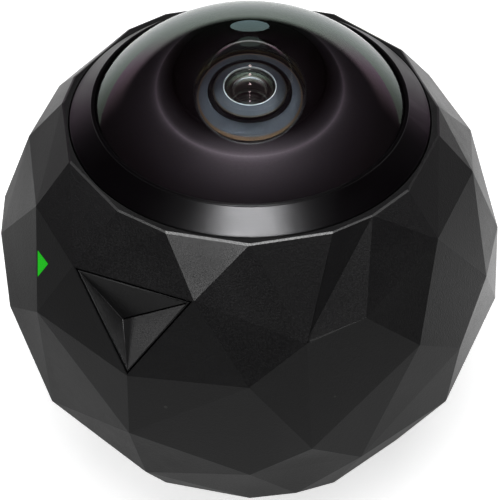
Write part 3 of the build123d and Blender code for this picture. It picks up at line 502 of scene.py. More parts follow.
def edge_wear():
    """Rubbed edges: a mask where the surface is sharply convex, broken up by a noise."""
    tree, given, out = effect("Edge wear", {"Size": 0.002, "Start": 0.52}, ["Mask"])
    sharpness = add(tree, "ShaderNodeNewGeometry").outputs["Pointiness"]
    scale = one_over(tree, given["Size"])
    broken = spread(tree, noise(tree, given["Place"], scale, 4.0, 0.6), 0.3, 0.7, 0.35, 1.0)
    edge = spread(tree, sharpness, given["Start"], plus(tree, given["Start"], 0.08))
    tree.links.new(times(tree, edge, broken), out["Mask"])
    return tree


def turning_lines():
    """Uneven circles that a lathe tool leaves: a noise along the distance from the axis and the height."""
    tree, given, out = effect("Turning lines", {"Pitch": 5e-05}, ["Height", "Shade"])
    height = xyz(tree, given["Place"])[2]
    along = plus(tree, from_axis(tree, given["Place"]), times(tree, height, -0.8))
    inputs = {"W": maths(tree, "DIVIDE", along, given["Pitch"]), "Scale": 1.0, "Detail": 3.0}
    lines = add(tree, "ShaderNodeTexNoise", inputs, noise_dimensions="1D").outputs[0]
    tree.links.new(lines, out["Height"])
    tree.links.new(spread(tree, lines, 0.3, 0.7), out["Shade"])
    return tree


def brushed_lines():
    """Fine straight scratches along x."""
    tree, given, out = effect("Brushed lines", {"Size": 0.0001}, ["Height"])
    scale = one_over(tree, given["Size"])
    stretched = add(tree, "ShaderNodeMapping", {"Vector": given["Place"], "Scale": (0.04, 1, 1)}).outputs[0]
    tree.links.new(noise(tree, stretched, scale, 3.0, 0.6), out["Height"])
    return tree


def circuit_lines():
    """Copper runs under a board's lacquer: the edges of a square cell pattern."""
    tree, given, out = effect("Circuit lines", {"Pitch": 0.0012}, ["Mask", "Dots"])
    scale = one_over(tree, given["Pitch"])
    level = {0: given["Place"], 1: (1, 1, 0)}
    flat = add(tree, "ShaderNodeVectorMath", level, operation="MULTIPLY").outputs[0]
    inputs = {"Vector": flat, "Scale": scale}
    nearest, second = (
        add(tree, "ShaderNodeTexVoronoi", inputs, distance="CHEBYCHEV", feature=feature).outputs["Distance"]
        for feature in ("F1", "F2")
    )
    gap = maths(tree, "SUBTRACT", second, nearest)
    tree.links.new(spread(tree, gap, 0.05, 0.09, 1.0, 0.0), out["Mask"])
    tree.links.new(spread(tree, nearest, 0.07, 0.09, 1.0, 0.0), out["Dots"])
    return tree


EFFECTS = {}


def effects():
    """Builds the shared effects once."""
    if not EFFECTS:
        for maker in (
            fine_grain, handling_marks, settled_dust, edge_wear, turning_lines, brushed_lines, circuit_lines,
        ):
            EFFECTS[maker.__name__] = maker()
    return EFFECTS


class Finish:
    """One material with its shader, its output and the object's own coordinates."""

    def __init__(self, name, **constants):
        self.material = bpy.data.materials.new(name)
        self.material.use_nodes = True
        self.tree = self.material.node_tree
        self.tree.nodes.clear()
        self.place = add(self.tree, "ShaderNodeTexCoord").outputs["Object"]
        self.shader = add(self.tree, "ShaderNodeBsdfPrincipled")
        self.output = add(self.tree, "ShaderNodeOutputMaterial", {"Surface": self.shader.outputs[0]})
        for label, value in constants.items():
            self.shader.inputs[label.replace("_", " ")].default_value = value

    def feed(self, label, source):
        """Links a varying colour or value to one of the shader's sockets."""
        self.tree.links.new(source, self.shader.inputs[label])

    def colour(self, source):
        """Links a varying colour to the shader's base."""
        self.feed("Base Color", source)

    def roughness(self, source):
        """Links a varying roughness to the shader."""
        self.feed("Roughness", source)

    def use(self, effect_name, **inputs):
        """Places a shared effect on the object's own coordinates."""
        made = add(self.tree, "ShaderNodeGroup", {"Place": self.place}, node_tree=effects()[effect_name])
        for label, value in inputs.items():
            made.inputs[label].default_value = value
        return made.outputs

    def bump(self, height, depth):
        """Raises the surface by a height pattern, to a depth in metres."""
        inputs = {"Height": height, "Distance": depth, "Strength": 1.0}
        self.feed("Normal", add(self.tree, "ShaderNodeBump", inputs).outputs[0])


def soft_touch(name, base, roughness, grain_size, grain_depth):
    """Black soft-touch coat: pebbled grain, rubbed edges, faint handling marks and a little dust."""
    finish = Finish(name, IOR=1.45)
    tree = finish.tree
    grain = finish.use("fine_grain", Size=grain_size)
    marks = finish.use("handling_marks", Size=0.018)
    dust = finish.use("settled_dust", Size=0.0016, Amount=0.02)
    wear = finish.use("edge_wear", Size=0.003, Start=0.54)
    lifted = scaled(base, 1.9)
    worn = scaled(base, 3.0)
    colours = mix_colours(tree, grain["Shade"], base, lifted)
    colours = mix_colours(tree, times(tree, wear["Mask"], 0.5), colours, worn)
    colours = mix_colours(tree, times(tree, dust["Mask"], 0.25), colours, (0.09, 0.09, 0.085))
    finish.colour(colours)
    level = mix_values(tree, marks["Mask"], roughness - 0.025, roughness + 0.035)
    level = mix_values(tree, wear["Mask"], level, roughness - 0.08)
    finish.roughness(mix_values(tree, grain["Shade"], level, plus(tree, level, 0.05)))
    finish.bump(grain["Height"], grain_depth)
    return finish.material


def turned_metal(name, base, roughness, pitch, metallic=1.0, anisotropic=0.75):
    """Turned and anodised metal: lathe lines, brighter rubbed edges and a stretched shine round the axis."""
    finish = Finish(name, Metallic=metallic, Anisotropic=anisotropic, Anisotropic_Rotation=0.25)
    tree = finish.tree
    lines = finish.use("turning_lines", Pitch=pitch)
    wear = finish.use("edge_wear", Size=0.002, Start=0.53)
    marks = finish.use("handling_marks", Size=0.006)
    colours = mix_colours(tree, lines["Shade"], scaled(base, 0.86), scaled(base, 1.14))
    finish.colour(mix_colours(tree, times(tree, wear["Mask"], 0.6), colours, scaled(base, 1.8)))
    level = mix_values(tree, lines["Shade"], roughness - 0.03, roughness + 0.05)
    finish.roughness(mix_values(tree, marks["Mask"], level, plus(tree, level, 0.04)))
    if anisotropic:
        finish.feed("Tangent", add(tree, "ShaderNodeTangent", direction_type="RADIAL", axis="Z").outputs[0])
    finish.bump(lines["Height"], 0.0025 * MM)
    return finish.material


def ring_metal(name, rings, edge_radius, edge_width, bore, edge_colour):
    """Blue-grey anodised ring with turning lines, a thin tinted edge, a polished lip and a black wall."""
    finish = Finish(name, Metallic=1.0, Anisotropic=0.4)
    tree = finish.tree
    lines = finish.use("turning_lines", Pitch=rings.groove_pitch)
    marks = finish.use("handling_marks", Size=0.003)
    radius = from_axis(tree, finish.place)
    base = rings.ring_colour
    colours = mix_colours(tree, lines["Shade"], scaled(base, 0.8), scaled(base, 1.2))
    in_edge = spread(tree, radius, edge_radius - edge_width * 1.5, edge_radius - edge_width)
    colours = mix_colours(tree, in_edge, colours, edge_colour)
    lip = spread(tree, radius, bore + 0.09 * MM, bore + 0.16 * MM, 1.0, 0.0)
    colours = mix_colours(tree, lip, colours, rings.lip_colour)
    wall = spread(tree, radius, edge_radius - edge_width * 0.3, edge_radius - edge_width * 0.1)
    finish.colour(mix_colours(tree, wall, colours, (0.004, 0.004, 0.005)))
    level = mix_values(tree, lines["Shade"], 0.42, 0.5)
    finish.roughness(mix_values(tree, marks["Mask"], level, plus(tree, level, 0.05)))
    finish.feed("Tangent", add(tree, "ShaderNodeTangent", direction_type="RADIAL", axis="Z").outputs[0])
    finish.bump(lines["Height"], 0.001 * MM)
    return finish.material


def black_paint_with_painted_glow(name, settings):
    """Black paint on the glass's ground foot and edge, with light painted into its colour: a painted plum
    glow beside the bowl with a painted highlight along the bowl's rim, darker outwards, and a painted sheen
    that makes it lightest towards the front. The ground face is a shallow cone, which the bump tilts."""
    finish = Finish(name, Specular_IOR_Level=0.0)
    tree, place = finish.tree, finish.place
    grain = finish.use("fine_grain", Size=0.0003)
    # Painted sheen: the paint's colour is made lightest towards the front, standing in for light that falls
    # there
    forwards = times(tree, xyz(tree, place)[1], -1.0)
    facing = maths(tree, "DIVIDE", forwards, from_axis(tree, place), True)
    painted_sheen = plus(tree, times(tree, maths(tree, "POWER", facing, 6.0), 0.78), 0.22)
    # Painted glow: plum colour beside the bowl that fades outwards, with a painted highlight along the bowl's
    # rim; both stand in for light, over the real black paint
    outside = maths(tree, "SUBTRACT", from_axis(tree, place), settings.bowl_radius)
    painted_glow = maths(tree, "EXPONENT", times(tree, outside, -1 / (3.0 * MM)))
    painted_rim_highlight = maths(tree, "EXPONENT", times(tree, outside, -1 / (0.3 * MM)))
    painted_glow = times(tree, times(tree, painted_glow, painted_sheen), 0.6)
    near = plus(tree, painted_glow, times(tree, painted_rim_highlight, 0.4), True)
    painted_glow_mask = times(tree, near, mix_values(tree, grain["Shade"], 0.93, 1.0))
    finish.colour(mix_colours(tree, painted_glow_mask, (0.0012, 0.001, 0.0012), settings.painted_glow_colour))
    finish.roughness(mix_values(tree, grain["Shade"], 0.85, 0.95))
    cone = times(tree, outside, settings.paint_slope)
    finish.bump(plus(tree, cone, times(tree, grain["Height"], 0.002 * MM)), 1.0)
    return finish.material


def plain_metal(name, base, roughness, bright=1.25):
    """Machined or pressed metal with brushed lines and faint stains."""
    finish = Finish(name, Metallic=1.0)
    tree = finish.tree
    lines = finish.use("brushed_lines", Size=0.00012)
    marks = finish.use("handling_marks", Size=0.004)
    finish.colour(mix_colours(tree, marks["Mask"], base, scaled(base, bright)))
    finish.roughness(mix_values(tree, lines["Height"], roughness - 0.08, roughness + 0.12))
    finish.bump(lines["Height"], 0.002 * MM)
    return finish.material


def cast_alloy(name, base):
    """Cast and blasted alloy: coarse grain and dark pits."""
    finish = Finish(name, Metallic=1.0)
    tree = finish.tree
    grain = finish.use("fine_grain", Size=0.0004)
    marks = finish.use("handling_marks", Size=0.008)
    finish.colour(mix_colours(tree, grain["Shade"], scaled(base, 0.8), base))
    finish.roughness(mix_values(tree, marks["Mask"], 0.42, 0.55))
    finish.bump(grain["Height"], 0.02 * MM)
    return finish.material


def moulded_rubber(name, base, size, depth):
    """Matt rubber: fine grain with pale dust in its hollows."""
    finish = Finish(name, IOR=1.5)
    tree = finish.tree
    grain = finish.use("fine_grain", Size=size)
    dust = finish.use("settled_dust", Size=0.0008, Amount=0.06)
    colours = mix_colours(tree, grain["Shade"], base, scaled(base, 1.5))
    finish.colour(mix_colours(tree, times(tree, dust["Mask"], 0.3), colours, (0.12, 0.12, 0.11)))
    finish.roughness(mix_values(tree, grain["Shade"], 0.62, 0.8))
    finish.bump(grain["Height"], depth)
    return finish.material


def optical_glass(name, index, tint, film_thickness):
    """Coated optical glass. A thin film gives its green and purple shine, and light passes to the rings."""
    finish = Finish(name, IOR=index, Transmission_Weight=1.0, Roughness=0.0)
    tree = finish.tree
    finish.shader.inputs["Base Color"].default_value = (*tint, 1)
    finish.shader.inputs["Thin Film Thickness"].default_value = film_thickness
    finish.shader.inputs["Thin Film IOR"].default_value = 1.6
    haze = finish.use("handling_marks", Size=0.007)
    dust = finish.use("settled_dust", Size=0.0021, Amount=0.015)
    finish.roughness(plus(tree, times(tree, haze["Mask"], 0.004), times(tree, dust["Mask"], 0.04)))
    clear = add(tree, "ShaderNodeBsdfTransparent", {"Color": (*tint, 1)})
    shadow = add(tree, "ShaderNodeLightPath").outputs["Is Shadow Ray"]
    passing = add(tree, "ShaderNodeMixShader", {0: shadow, 1: finish.shader.outputs[0], 2: clear.outputs[0]})
    tree.links.new(passing.outputs[0], finish.output.inputs["Surface"])
    return finish.material


def glowing_guide(name, settings):
    """Clear plastic lit from behind, with a fine frosted grain that varies its glow a little."""
    finish = Finish(name, IOR=1.49, Emission_Strength=settings.glow_strength)
    tree = finish.tree
    grain = finish.use("fine_grain", Size=0.0001)
    glow = settings.glow_colour
    finish.colour(mix_colours(tree, grain["Shade"], (0.001, 0.004, 0.001), (0.001, 0.008, 0.001)))
    finish.feed("Emission Color", mix_colours(tree, grain["Shade"], scaled(glow, 0.88), glow))
    finish.roughness(mix_values(tree, grain["Shade"], 0.25, 0.32))
    finish.bump(grain["Height"], 0.002 * MM)
    return finish.material


def board_lacquer(name):
    """Green board lacquer over copper runs, with tinned dots and pale woven edges."""
    finish = Finish(name, IOR=1.5)
    tree = finish.tree
    runs = finish.use("circuit_lines", Pitch=0.0011)
    pads = finish.use("circuit_lines", Pitch=0.0023)
    colours = mix_colours(tree, runs["Mask"], (0.012, 0.09, 0.035), (0.03, 0.17, 0.06))
    finish.colour(mix_colours(tree, pads["Dots"], colours, (0.62, 0.60, 0.55)))
    finish.feed("Metallic", pads["Dots"])
    finish.roughness(mix_values(tree, pads["Dots"], 0.32, 0.38))
    finish.bump(runs["Mask"], 0.01 * MM)
    return finish.material


def chip_resin(name):
    """Dull black moulding resin with fine pale filler."""
    finish = Finish(name, IOR=1.5)
    tree = finish.tree
    grain = finish.use("fine_grain", Size=0.00008)
    finish.colour(mix_colours(tree, grain["Shade"], (0.012, 0.012, 0.013), (0.035, 0.035, 0.037)))
    finish.roughness(mix_values(tree, grain["Shade"], 0.5, 0.62))
    finish.bump(grain["Height"], 0.004 * MM)
    return finish.material


def strip_film(name):
    """Amber film with copper lines along it."""
    finish = Finish(name, IOR=1.5)
    tree = finish.tree
    inputs = {"Vector": finish.place, "Scale": 400.0, "Distortion": 0.0}
    wave = add(tree, "ShaderNodeTexWave", inputs, bands_direction="X")
    lines = spread(tree, wave.outputs["Fac"], 0.45, 0.55)
    finish.colour(mix_colours(tree, lines, (0.33, 0.12, 0.02), (0.52, 0.25, 0.07)))
    finish.roughness(mix_values(tree, lines, 0.3, 0.36))
    finish.bump(lines, 0.01 * MM)
    return finish.material


def battery_sleeve(name):
    """Grey shrink sleeve with soft creases."""
    finish = Finish(name, IOR=1.5)
    tree = finish.tree
    creases = noise(tree, finish.place, 320.0, 3.0, 0.6)
    marks = finish.use("handling_marks", Size=0.006)
    finish.colour(mix_colours(tree, marks["Mask"], (0.16, 0.17, 0.19), (0.22, 0.23, 0.25)))
    finish.roughness(mix_values(tree, creases, 0.28, 0.42))
    finish.bump(creases, 0.08 * MM)
    return finish.material


def soft_foam(name):
    """Dark open foam with small pores."""
    finish = Finish(name, IOR=1.4)
    tree = finish.tree
    cells = add(tree, "ShaderNodeTexVoronoi", {"Vector": finish.place, "Scale": 2600.0}).outputs["Distance"]
    pores = spread(tree, cells, 0.25, 0.6)
    finish.colour(mix_colours(tree, pores, (0.01, 0.01, 0.01), (0.06, 0.06, 0.062)))
    finish.roughness(mix_values(tree, pores, 0.95, 0.8))
    finish.bump(pores, 0.05 * MM)
    return finish.material


MADE = {}


def finish_for(slot):
    """The finish of a material slot, built the first time it is asked for."""
    if slot not in MADE:
        settings = bpy.context.scene.ball_camera
        shell, rings, glass = settings.shell, settings.rings, settings.glass
        rough, size, depth, pitch = shell.roughness, shell.grain_size, shell.grain_depth, rings.groove_pitch
        button = shell.button_colour
        makers = {
            "shell_black": (soft_touch, "Soft touch black", shell.shell_colour, rough, size, depth),
            "cover_black": (soft_touch, "Cover black", shell.cover_colour, rough + 0.05, size * 1.3, depth),
            "button_black": (soft_touch, "Button black", button, rough - 0.04, size, depth * 0.7),
            "bezel_black": (turned_metal, "Turned black bezel", rings.bezel_colour, 0.34, pitch),
            "ring_black": (turned_metal, "Blackened barrel", (0.012, 0.012, 0.013), 0.5, pitch, 0.0, 0.0),
            "lens_glass": (optical_glass, "Coated lens glass", glass.index, (0.985, 1.0, 0.99), glass.film),
            "filter_glass": (optical_glass, "Coated filter glass", 1.52, (0.75, 0.92, 0.95), 200.0),
            "light_guide": (glowing_guide, "Lit light guide", settings.light),
            "seal_rubber": (moulded_rubber, "Seal rubber", (0.012, 0.012, 0.012), 0.0002, 0.004 * MM),
            "foot_rubber": (moulded_rubber, "Foot rubber", (0.018, 0.018, 0.018), 0.0003, 0.012 * MM),
            "mount_plastic": (chip_resin, "Mount plastic"),
            "chassis_alloy": (cast_alloy, "Cast chassis alloy", (0.56, 0.57, 0.59)),
            "steel": (plain_metal, "Plain steel", (0.52, 0.52, 0.53), 0.34),
            "brass": (turned_metal, "Turned brass", (0.66, 0.46, 0.18), 0.28, pitch * 2),
            "gold": (plain_metal, "Contact gold", (0.85, 0.60, 0.23), 0.22, 1.1),
            "board": (board_lacquer, "Board lacquer"),
            "chip": (chip_resin, "Chip resin"),
            "shield_steel": (plain_metal, "Shield steel", (0.60, 0.60, 0.59), 0.36),
            "flex": (strip_film, "Flexible strip"),
            "battery_wrap": (battery_sleeve, "Battery sleeve"),
            "foam": (soft_foam, "Soft foam"),
        }
        maker, *values = makers[slot]
        MADE[slot] = maker(*values)
    return MADE[slot]


def dress(piece, *materials):
    """Gives a piece its materials in place of those it came with."""
    piece.data.materials.clear()
    for material in materials:
        piece.data.materials.append(material)


# Pieces


class BALLCAM_OT_shell(bpy.types.Operator):
    """Softens the facet edges of the upper shell and gives it its soft-touch coat"""

    bl_idname = "ball_camera.shell"
    bl_label = "Faceted Shell"

    def execute(self, context):
        settings = context.scene.ball_camera.shell
        shell = softened_copy(
            "body_shell", "faceted_shell", settings.edge_softness,
            lambda edge: far_out(edge, settings.shell_reach),
        )
        dress(shell, finish_for("shell_black"))
        return {"FINISHED"}


class BALLCAM_OT_cover(bpy.types.Operator):
    """Softens the facet edges of the lower cover"""

    bl_idname = "ball_camera.cover"
    bl_label = "Lower Cover"

    def execute(self, context):
        settings = context.scene.ball_camera.shell
        cover = softened_copy(
            "base_cover", "faceted_cover", settings.edge_softness,
            lambda edge: far_out(edge, settings.cover_reach),
        )
        dress(cover, finish_for("cover_black"))
        return {"FINISHED"}


class BALLCAM_OT_button(bpy.types.Operator):
    """Softens the record button's three falling faces and its edges"""

    bl_idname = "ball_camera.button"
    bl_label = "Record Button"

    def execute(self, context):
        settings = context.scene.ball_camera.shell
        rim_angle = radians(60)
        button = softened_copy(
            "record_button", "dished_button", settings.button_softness,
            lambda edge: far_out(edge, settings.button_reach) and edge.calc_face_angle(0) > rim_angle, False,
        )
        self.crease(button.data, settings)
        dress(button, finish_for("button_black"))
        return {"FINISHED"}

    def crease(self, mesh, settings):
        """Cuts a narrow groove along the crease that runs from the dish's inner point to its right corner:
        the crease becomes two parallel lines with a third between them, which is sunk along the faces' mean
        normal everywhere but at its two ends."""
        shortest, flattest, on_line = 4 * MM, radians(10), 0.005 * MM
        near_share, far_share = 0.04, 0.08
        shape = bmesh.new()
        shape.from_mesh(mesh)
        creases = [edge for edge in shape.edges if not edge.is_convex and edge.calc_length() > shortest]
        creases = [edge for edge in creases if edge.calc_face_angle(0) > flattest]
        crease = max(creases, key=lambda edge: max(end.co.x for end in edge.verts))
        outwards = sum((face.normal for face in crease.link_faces), Vector()).normalized()
        start, along = crease.verts[0].co.copy(), crease.verts[1].co - crease.verts[0].co
        made = bmesh.ops.bevel(
            shape, geom=[crease], offset=settings.crease_width / 2, offset_type="WIDTH", segments=2,
            profile=1.0, affect="EDGES", loop_slide=False,
        )
        middle = []
        for point in made["verts"]:
            beside = point.co - start
            if (beside - beside.project(along)).length < on_line:
                middle.append(point)
        inner, corner = sorted(middle, key=lambda point: point.co.x)
        line = next(edge for edge in inner.link_edges if edge.other_vert(inner) == corner)
        sides = list(line.link_faces)
        near = bmesh.utils.edge_split(line, inner, near_share)[1]
        line = next(edge for edge in near.link_edges if edge.other_vert(near) == corner)
        far = bmesh.utils.edge_split(line, corner, far_share)[1]
        bmesh.ops.triangulate(shape, faces=sides)
        # The new faces come in any order, so that they are put in the order of their corners
        shape.verts.index_update()
        ordered = sorted(shape.faces, key=lambda face: sorted(corner.index for corner in face.verts))
        for number, face in enumerate(ordered):
            face.index = number
        shape.faces.sort()
        for point in (near, far):
            point.co -= outwards * settings.crease_depth
        shape.normal_update()
        shape.to_mesh(mesh)
        shape.free()
        mesh.set_sharp_from_angle(angle=FACET_ANGLE)


class BALLCAM_OT_front_glass(bpy.types.Operator):
    """Turns the big front glass: a sphere outside, a round bowl behind it, both polished and coated"""

    bl_idname = "ball_camera.front_glass"
    bl_label = "Front Glass"

    def execute(self, context):
        settings = context.scene.ball_camera.glass
        seat, top, edge = DOME_LOW.z, DOME_HIGH.z, DOME_HIGH.x
        foot_level = seat + settings.paint_lift
        outside = arc_profile(top, edge, seat + settings.edge_height, steps=72)
        bowl_top = foot_level + settings.bowl_radius
        bowl = arc_profile(bowl_top, settings.bowl_radius, foot_level, steps=56)[::-1]
        ease = settings.chamfer
        foot = np.array([
            (edge, seat + settings.edge_height * 0.5), (edge, foot_level + ease), (edge - ease, foot_level),
            ((edge + settings.bowl_radius) / 2, foot_level),
        ])
        profile = np.concatenate((outside, foot, bowl))
        glass = turned_piece("front_glass", profile, "camera", 224, 30, is_loop=False)
        # The second material is black paint with a painted glow, a painted rim highlight and a painted sheen
        # in its colour
        dress(glass, finish_for("lens_glass"), black_paint_with_painted_glow("Blackened glass edge with painted glow", settings))
        self.paint(glass.data, foot_level + ease, edge)
        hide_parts("dome_lens")
        return {"FINISHED"}

    def paint(self, mesh, paint_top, edge):
        """Gives the second material to the faces that lie below a level, and to the straight edge."""
        places = np.empty(len(mesh.vertices) * 3)
        mesh.vertices.foreach_get("co", places)
        points = places.reshape(-1, 3)
        margin = 0.001 * MM
        outer = np.hypot(points[:, 0], points[:, 1]) > edge - margin
        is_painted = (points[:, 2] < paint_top + margin) | outer
        corners = np.empty(len(mesh.loops), np.int32)
        mesh.loops.foreach_get("vertex_index", corners)
        starts = np.empty(len(mesh.polygons), np.int32)
        mesh.polygons.foreach_get("loop_start", starts)
        slots = np.logical_and.reduceat(is_painted[corners], starts).astype(np.int32)
        mesh.polygons.foreach_set("material_index", slots)


class BALLCAM_OT_lenses(bpy.types.Operator):
    """Turns the lenses behind the front glass"""

    bl_idname = "ball_camera.lenses"
    bl_label = "Inner Lenses"

    def execute(self, context):
        settings = context.scene.ball_camera.glass
        low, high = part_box("second_lens")
        outside = arc_profile(high.z, high.x, low.z + settings.second_edge, 40)
        bowl = arc_profile(low.z + settings.second_bowl_depth, settings.second_bowl_radius, low.z, 32)[::-1]
        self.lens("second_glass", "second_lens", [outside, [(high.x, low.z)], bowl])
        low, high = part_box("third_lens")
        rim = high.x - settings.third_land
        upper = arc_profile(high.z - settings.third_hollow, rim, high.z, 32)
        lower = arc_profile(low.z + settings.third_hollow, rim, low.z, 32)[::-1]
        self.lens("third_glass", "third_lens", [upper, [(high.x, high.z), (high.x, low.z)], lower])
        low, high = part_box("rear_lens")
        upper = arc_profile(high.z, high.x, high.z - settings.rear_bulge, 32)
        self.lens("rear_glass", "rear_lens", [upper, [(high.x, low.z), (0, low.z)]])
        return {"FINISHED"}

    def lens(self, name, node, parts):
        """One lens turned from a profile that starts and ends on the axis."""
        profile = np.concatenate([np.asarray(part, float) for part in parts])
        glass = turned_piece(name, profile, "camera", 128, 30, is_loop=False)
        dress(glass, finish_for("lens_glass"))
        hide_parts(node)


class BALLCAM_OT_bezel(bpy.types.Operator):
    """Turns the black bezel round the glass, with its rounded edges, cone and inner lip"""

    bl_idname = "ball_camera.bezel"
    bl_label = "Turned Bezel"

    def execute(self, context):
        rings = context.scene.ball_camera.rings
        glass = context.scene.ball_camera.glass
        low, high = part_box("lens_bezel")
        seat, top, edge = DOME_LOW.z, DOME_HIGH.z, DOME_HIGH.x
        rise = top - seat - glass.edge_height
        dome_radius = (edge**2 + rise**2) / (2 * rise)
        dome_centre = top - dome_radius
        gap = rings.glass_gap
        lip_inner = edge - rings.lip_overlap
        ledge, foot = edge + rings.ledge_width, edge + rings.foot_wall
        cone_top = high.z - rings.lip_height
        edge_level = cone_top - rings.bezel_cone
        over_glass = np.linspace(lip_inner, edge + gap, 8)
        inner_arc = np.stack((over_glass, dome_centre + np.sqrt((dome_radius + gap) ** 2 - over_glass**2)), 1)
        profile = np.concatenate((
            [(foot, low.z), (high.x, low.z), (high.x, edge_level - rings.bezel_edge)],
            [(high.x - rings.bezel_edge, edge_level), (lip_inner + rings.lip_width, cone_top)],
            [(lip_inner + rings.lip_width, high.z), (lip_inner, high.z)],
            inner_arc,
            [(edge + gap, seat + rings.ledge_height), (ledge, seat + rings.ledge_height), (ledge, seat)],
            [(foot, seat)],
        ))
        profile = rounded_profile(profile, rings.rounding)
        bezel = turned_piece("turned_bezel", profile, "camera", segments=224)
        dress(bezel, finish_for("bezel_black"))
        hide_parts("lens_bezel")
        return {"FINISHED"}


class BALLCAM_OT_lens_rings(bpy.types.Operator):
    """Turns the two rings that show through the glass round the small lens"""

    bl_idname = "ball_camera.lens_rings"
    bl_label = "Lens Rings"

    def execute(self, context):
        rings = context.scene.ball_camera.rings
        seat = DOME_LOW.z
        low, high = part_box("barrel_ring")
        bore, outer = rings.outer_bore, high.x
        profile = [(bore, low.z), (outer, low.z), (outer, seat + rings.outer_edge_height), (bore, high.z)]
        finish = ring_metal("Outer lens ring", rings, outer, rings.outer_edge_width, 0.0, rings.edge_colour)
        ring = self.ring("outer_lens_ring", profile, finish, rings.rounding)
        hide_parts("barrel_ring")
        low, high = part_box("cell_ring")
        outer, bore, step = high.x, rings.inner_bore, seat + rings.step_height
        groove, lip = outer - rings.step_width, bore - rings.lip_reach
        profile = [
            (bore, low.z), (outer, low.z), (outer, step), (groove, step),
            (groove, seat + rings.inner_edge_height), (lip, high.z),
            (lip, high.z - rings.lip_wall), (bore, high.z - rings.lip_fall),
        ]
        finish = ring_metal(
            "Inner lens ring", rings, groove, rings.inner_edge_width, lip, rings.inner_edge_colour
        )
        ring = self.ring("inner_lens_ring", profile, finish, rings.rounding)
        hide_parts("cell_ring")
        return {"FINISHED"}

    def ring(self, name, profile, finish, rounding):
        """One ring turned from its profile, its corners rounded, with its own finish."""
        ring = turned_piece(name, rounded_profile(profile, rounding), "camera")
        dress(ring, finish)
        return ring


class BALLCAM_OT_status_light(bpy.types.Operator):
    """Lights the green status light and the lamp behind it"""

    bl_idname = "ball_camera.status_light"
    bl_label = "Status Light"

    def execute(self, context):
        for node in ("status_light", "status_led"):
            dress(NODES[node], finish_for("light_guide"))
        return {"FINISHED"}


class BALLCAM_OT_underside(bpy.types.Operator):
    """Makes the grooved foot ring, the tripod thread and the rounded contacts"""

    bl_idname = "ball_camera.underside"
    bl_label = "Underside"

    def execute(self, context):
        settings = context.scene.ball_camera.underside
        low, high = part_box("foot_ring")
        outer = high.x
        inner = outer - settings.foot_width
        depth, rounding, grooves = settings.foot_groove, settings.foot_rounding, 3
        across = np.linspace(outer - rounding, inner + rounding, 49)
        wave = 0.5 - 0.5 * np.cos((across - across[0]) / (across[-1] - across[0]) * 2 * pi * grooves)
        tread = np.stack((across, low.z + depth * wave), 1)
        sides = [(inner, low.z + rounding), (inner, high.z), (outer, high.z), (outer, low.z + rounding)]
        profile = np.concatenate((tread, sides))
        foot = turned_piece("foot_tread", profile, "camera", sharp_angle=60)
        dress(foot, finish_for("foot_rubber"))
        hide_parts("foot_ring")
        self.thread(settings)
        self.contacts(settings)
        return {"FINISHED"}

    def thread(self, settings):
        """A helical ridge on the wall of the insert's bore: the profile's four corners turn round the axis
        while they climb one pitch a turn, and the ridge fades out at both ends."""
        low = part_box("tripod_insert")[0]
        bore, pitch, depth = settings.thread_bore, settings.thread_pitch, settings.thread_depth
        length_up = settings.thread_height - pitch * 1.1
        root, fade_turn, crest_share = 0.02 * MM, 0.9, 0.98
        turn = np.linspace(0, 2 * pi * length_up / pitch, 260)
        fade = np.clip(np.minimum(turn, turn[-1] - turn) / fade_turn, 0, 1)
        crest = np.array([0, 1, 1, 0])
        up = np.array([0.02, 0.40, 0.50, 0.90]) * pitch
        radius = bore + root * (1 - crest) - crest * depth * fade[:, None] * crest_share
        height = low.z + pitch * (0.1 + turn[:, None] / (2 * pi)) + up[None]
        points = np.stack((radius * np.cos(turn)[:, None], radius * np.sin(turn)[:, None], height), -1)
        points = points.reshape(-1, 3)
        caps = np.array([[0, 1, 2, 3], [0, 1, 2, 3]]) + [[0], [len(turn) * 4 - 4]]
        faces = np.concatenate((grid_faces(len(turn), 4), caps))
        ridge = new_piece("tripod_thread_ridge", points, faces, "camera", sharp_angle=30)
        dress(ridge, finish_for("brass"))

    def contacts(self, settings):
        """Four pins with domed lower ends: the height rises with the square of the distance from a pin's
        axis."""
        low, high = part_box("charging_contacts")
        radius = settings.contact_radius
        centres = np.linspace(low.x + radius, high.x - radius, 4)
        middle = (low.y + high.y) / 2
        outwards = np.linspace(0, 1, 10)
        tip = np.stack((radius * outwards, low.z + settings.contact_dome * outwards**2), 1)
        profile = np.concatenate((tip, [(radius, high.z), (0, high.z)]))
        segments = 40
        points = np.concatenate([turned_points(profile, segments, (centre, middle)) for centre in centres])
        one = grid_faces(len(profile), segments)
        faces = np.concatenate([one + pin * len(profile) * segments for pin in range(len(centres))])
        pins = new_piece("domed_contacts", points, faces, "camera", sharp_angle=35)
        dress(pins, finish_for("gold"))
        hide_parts("charging_contacts")


class BALLCAM_OT_inner_parts(bpy.types.Operator):
    """Gives every remaining part of the frame the finish of its material slot"""

    bl_idname = "ball_camera.inner_parts"
    bl_label = "Inner Parts"

    def execute(self, context):
        for name, node in NODES.items():
            if not node.hide_render and name not in ("status_light", "status_led"):
                dress(node, finish_for(SLOT_OF[name]))
        return {"FINISHED"}


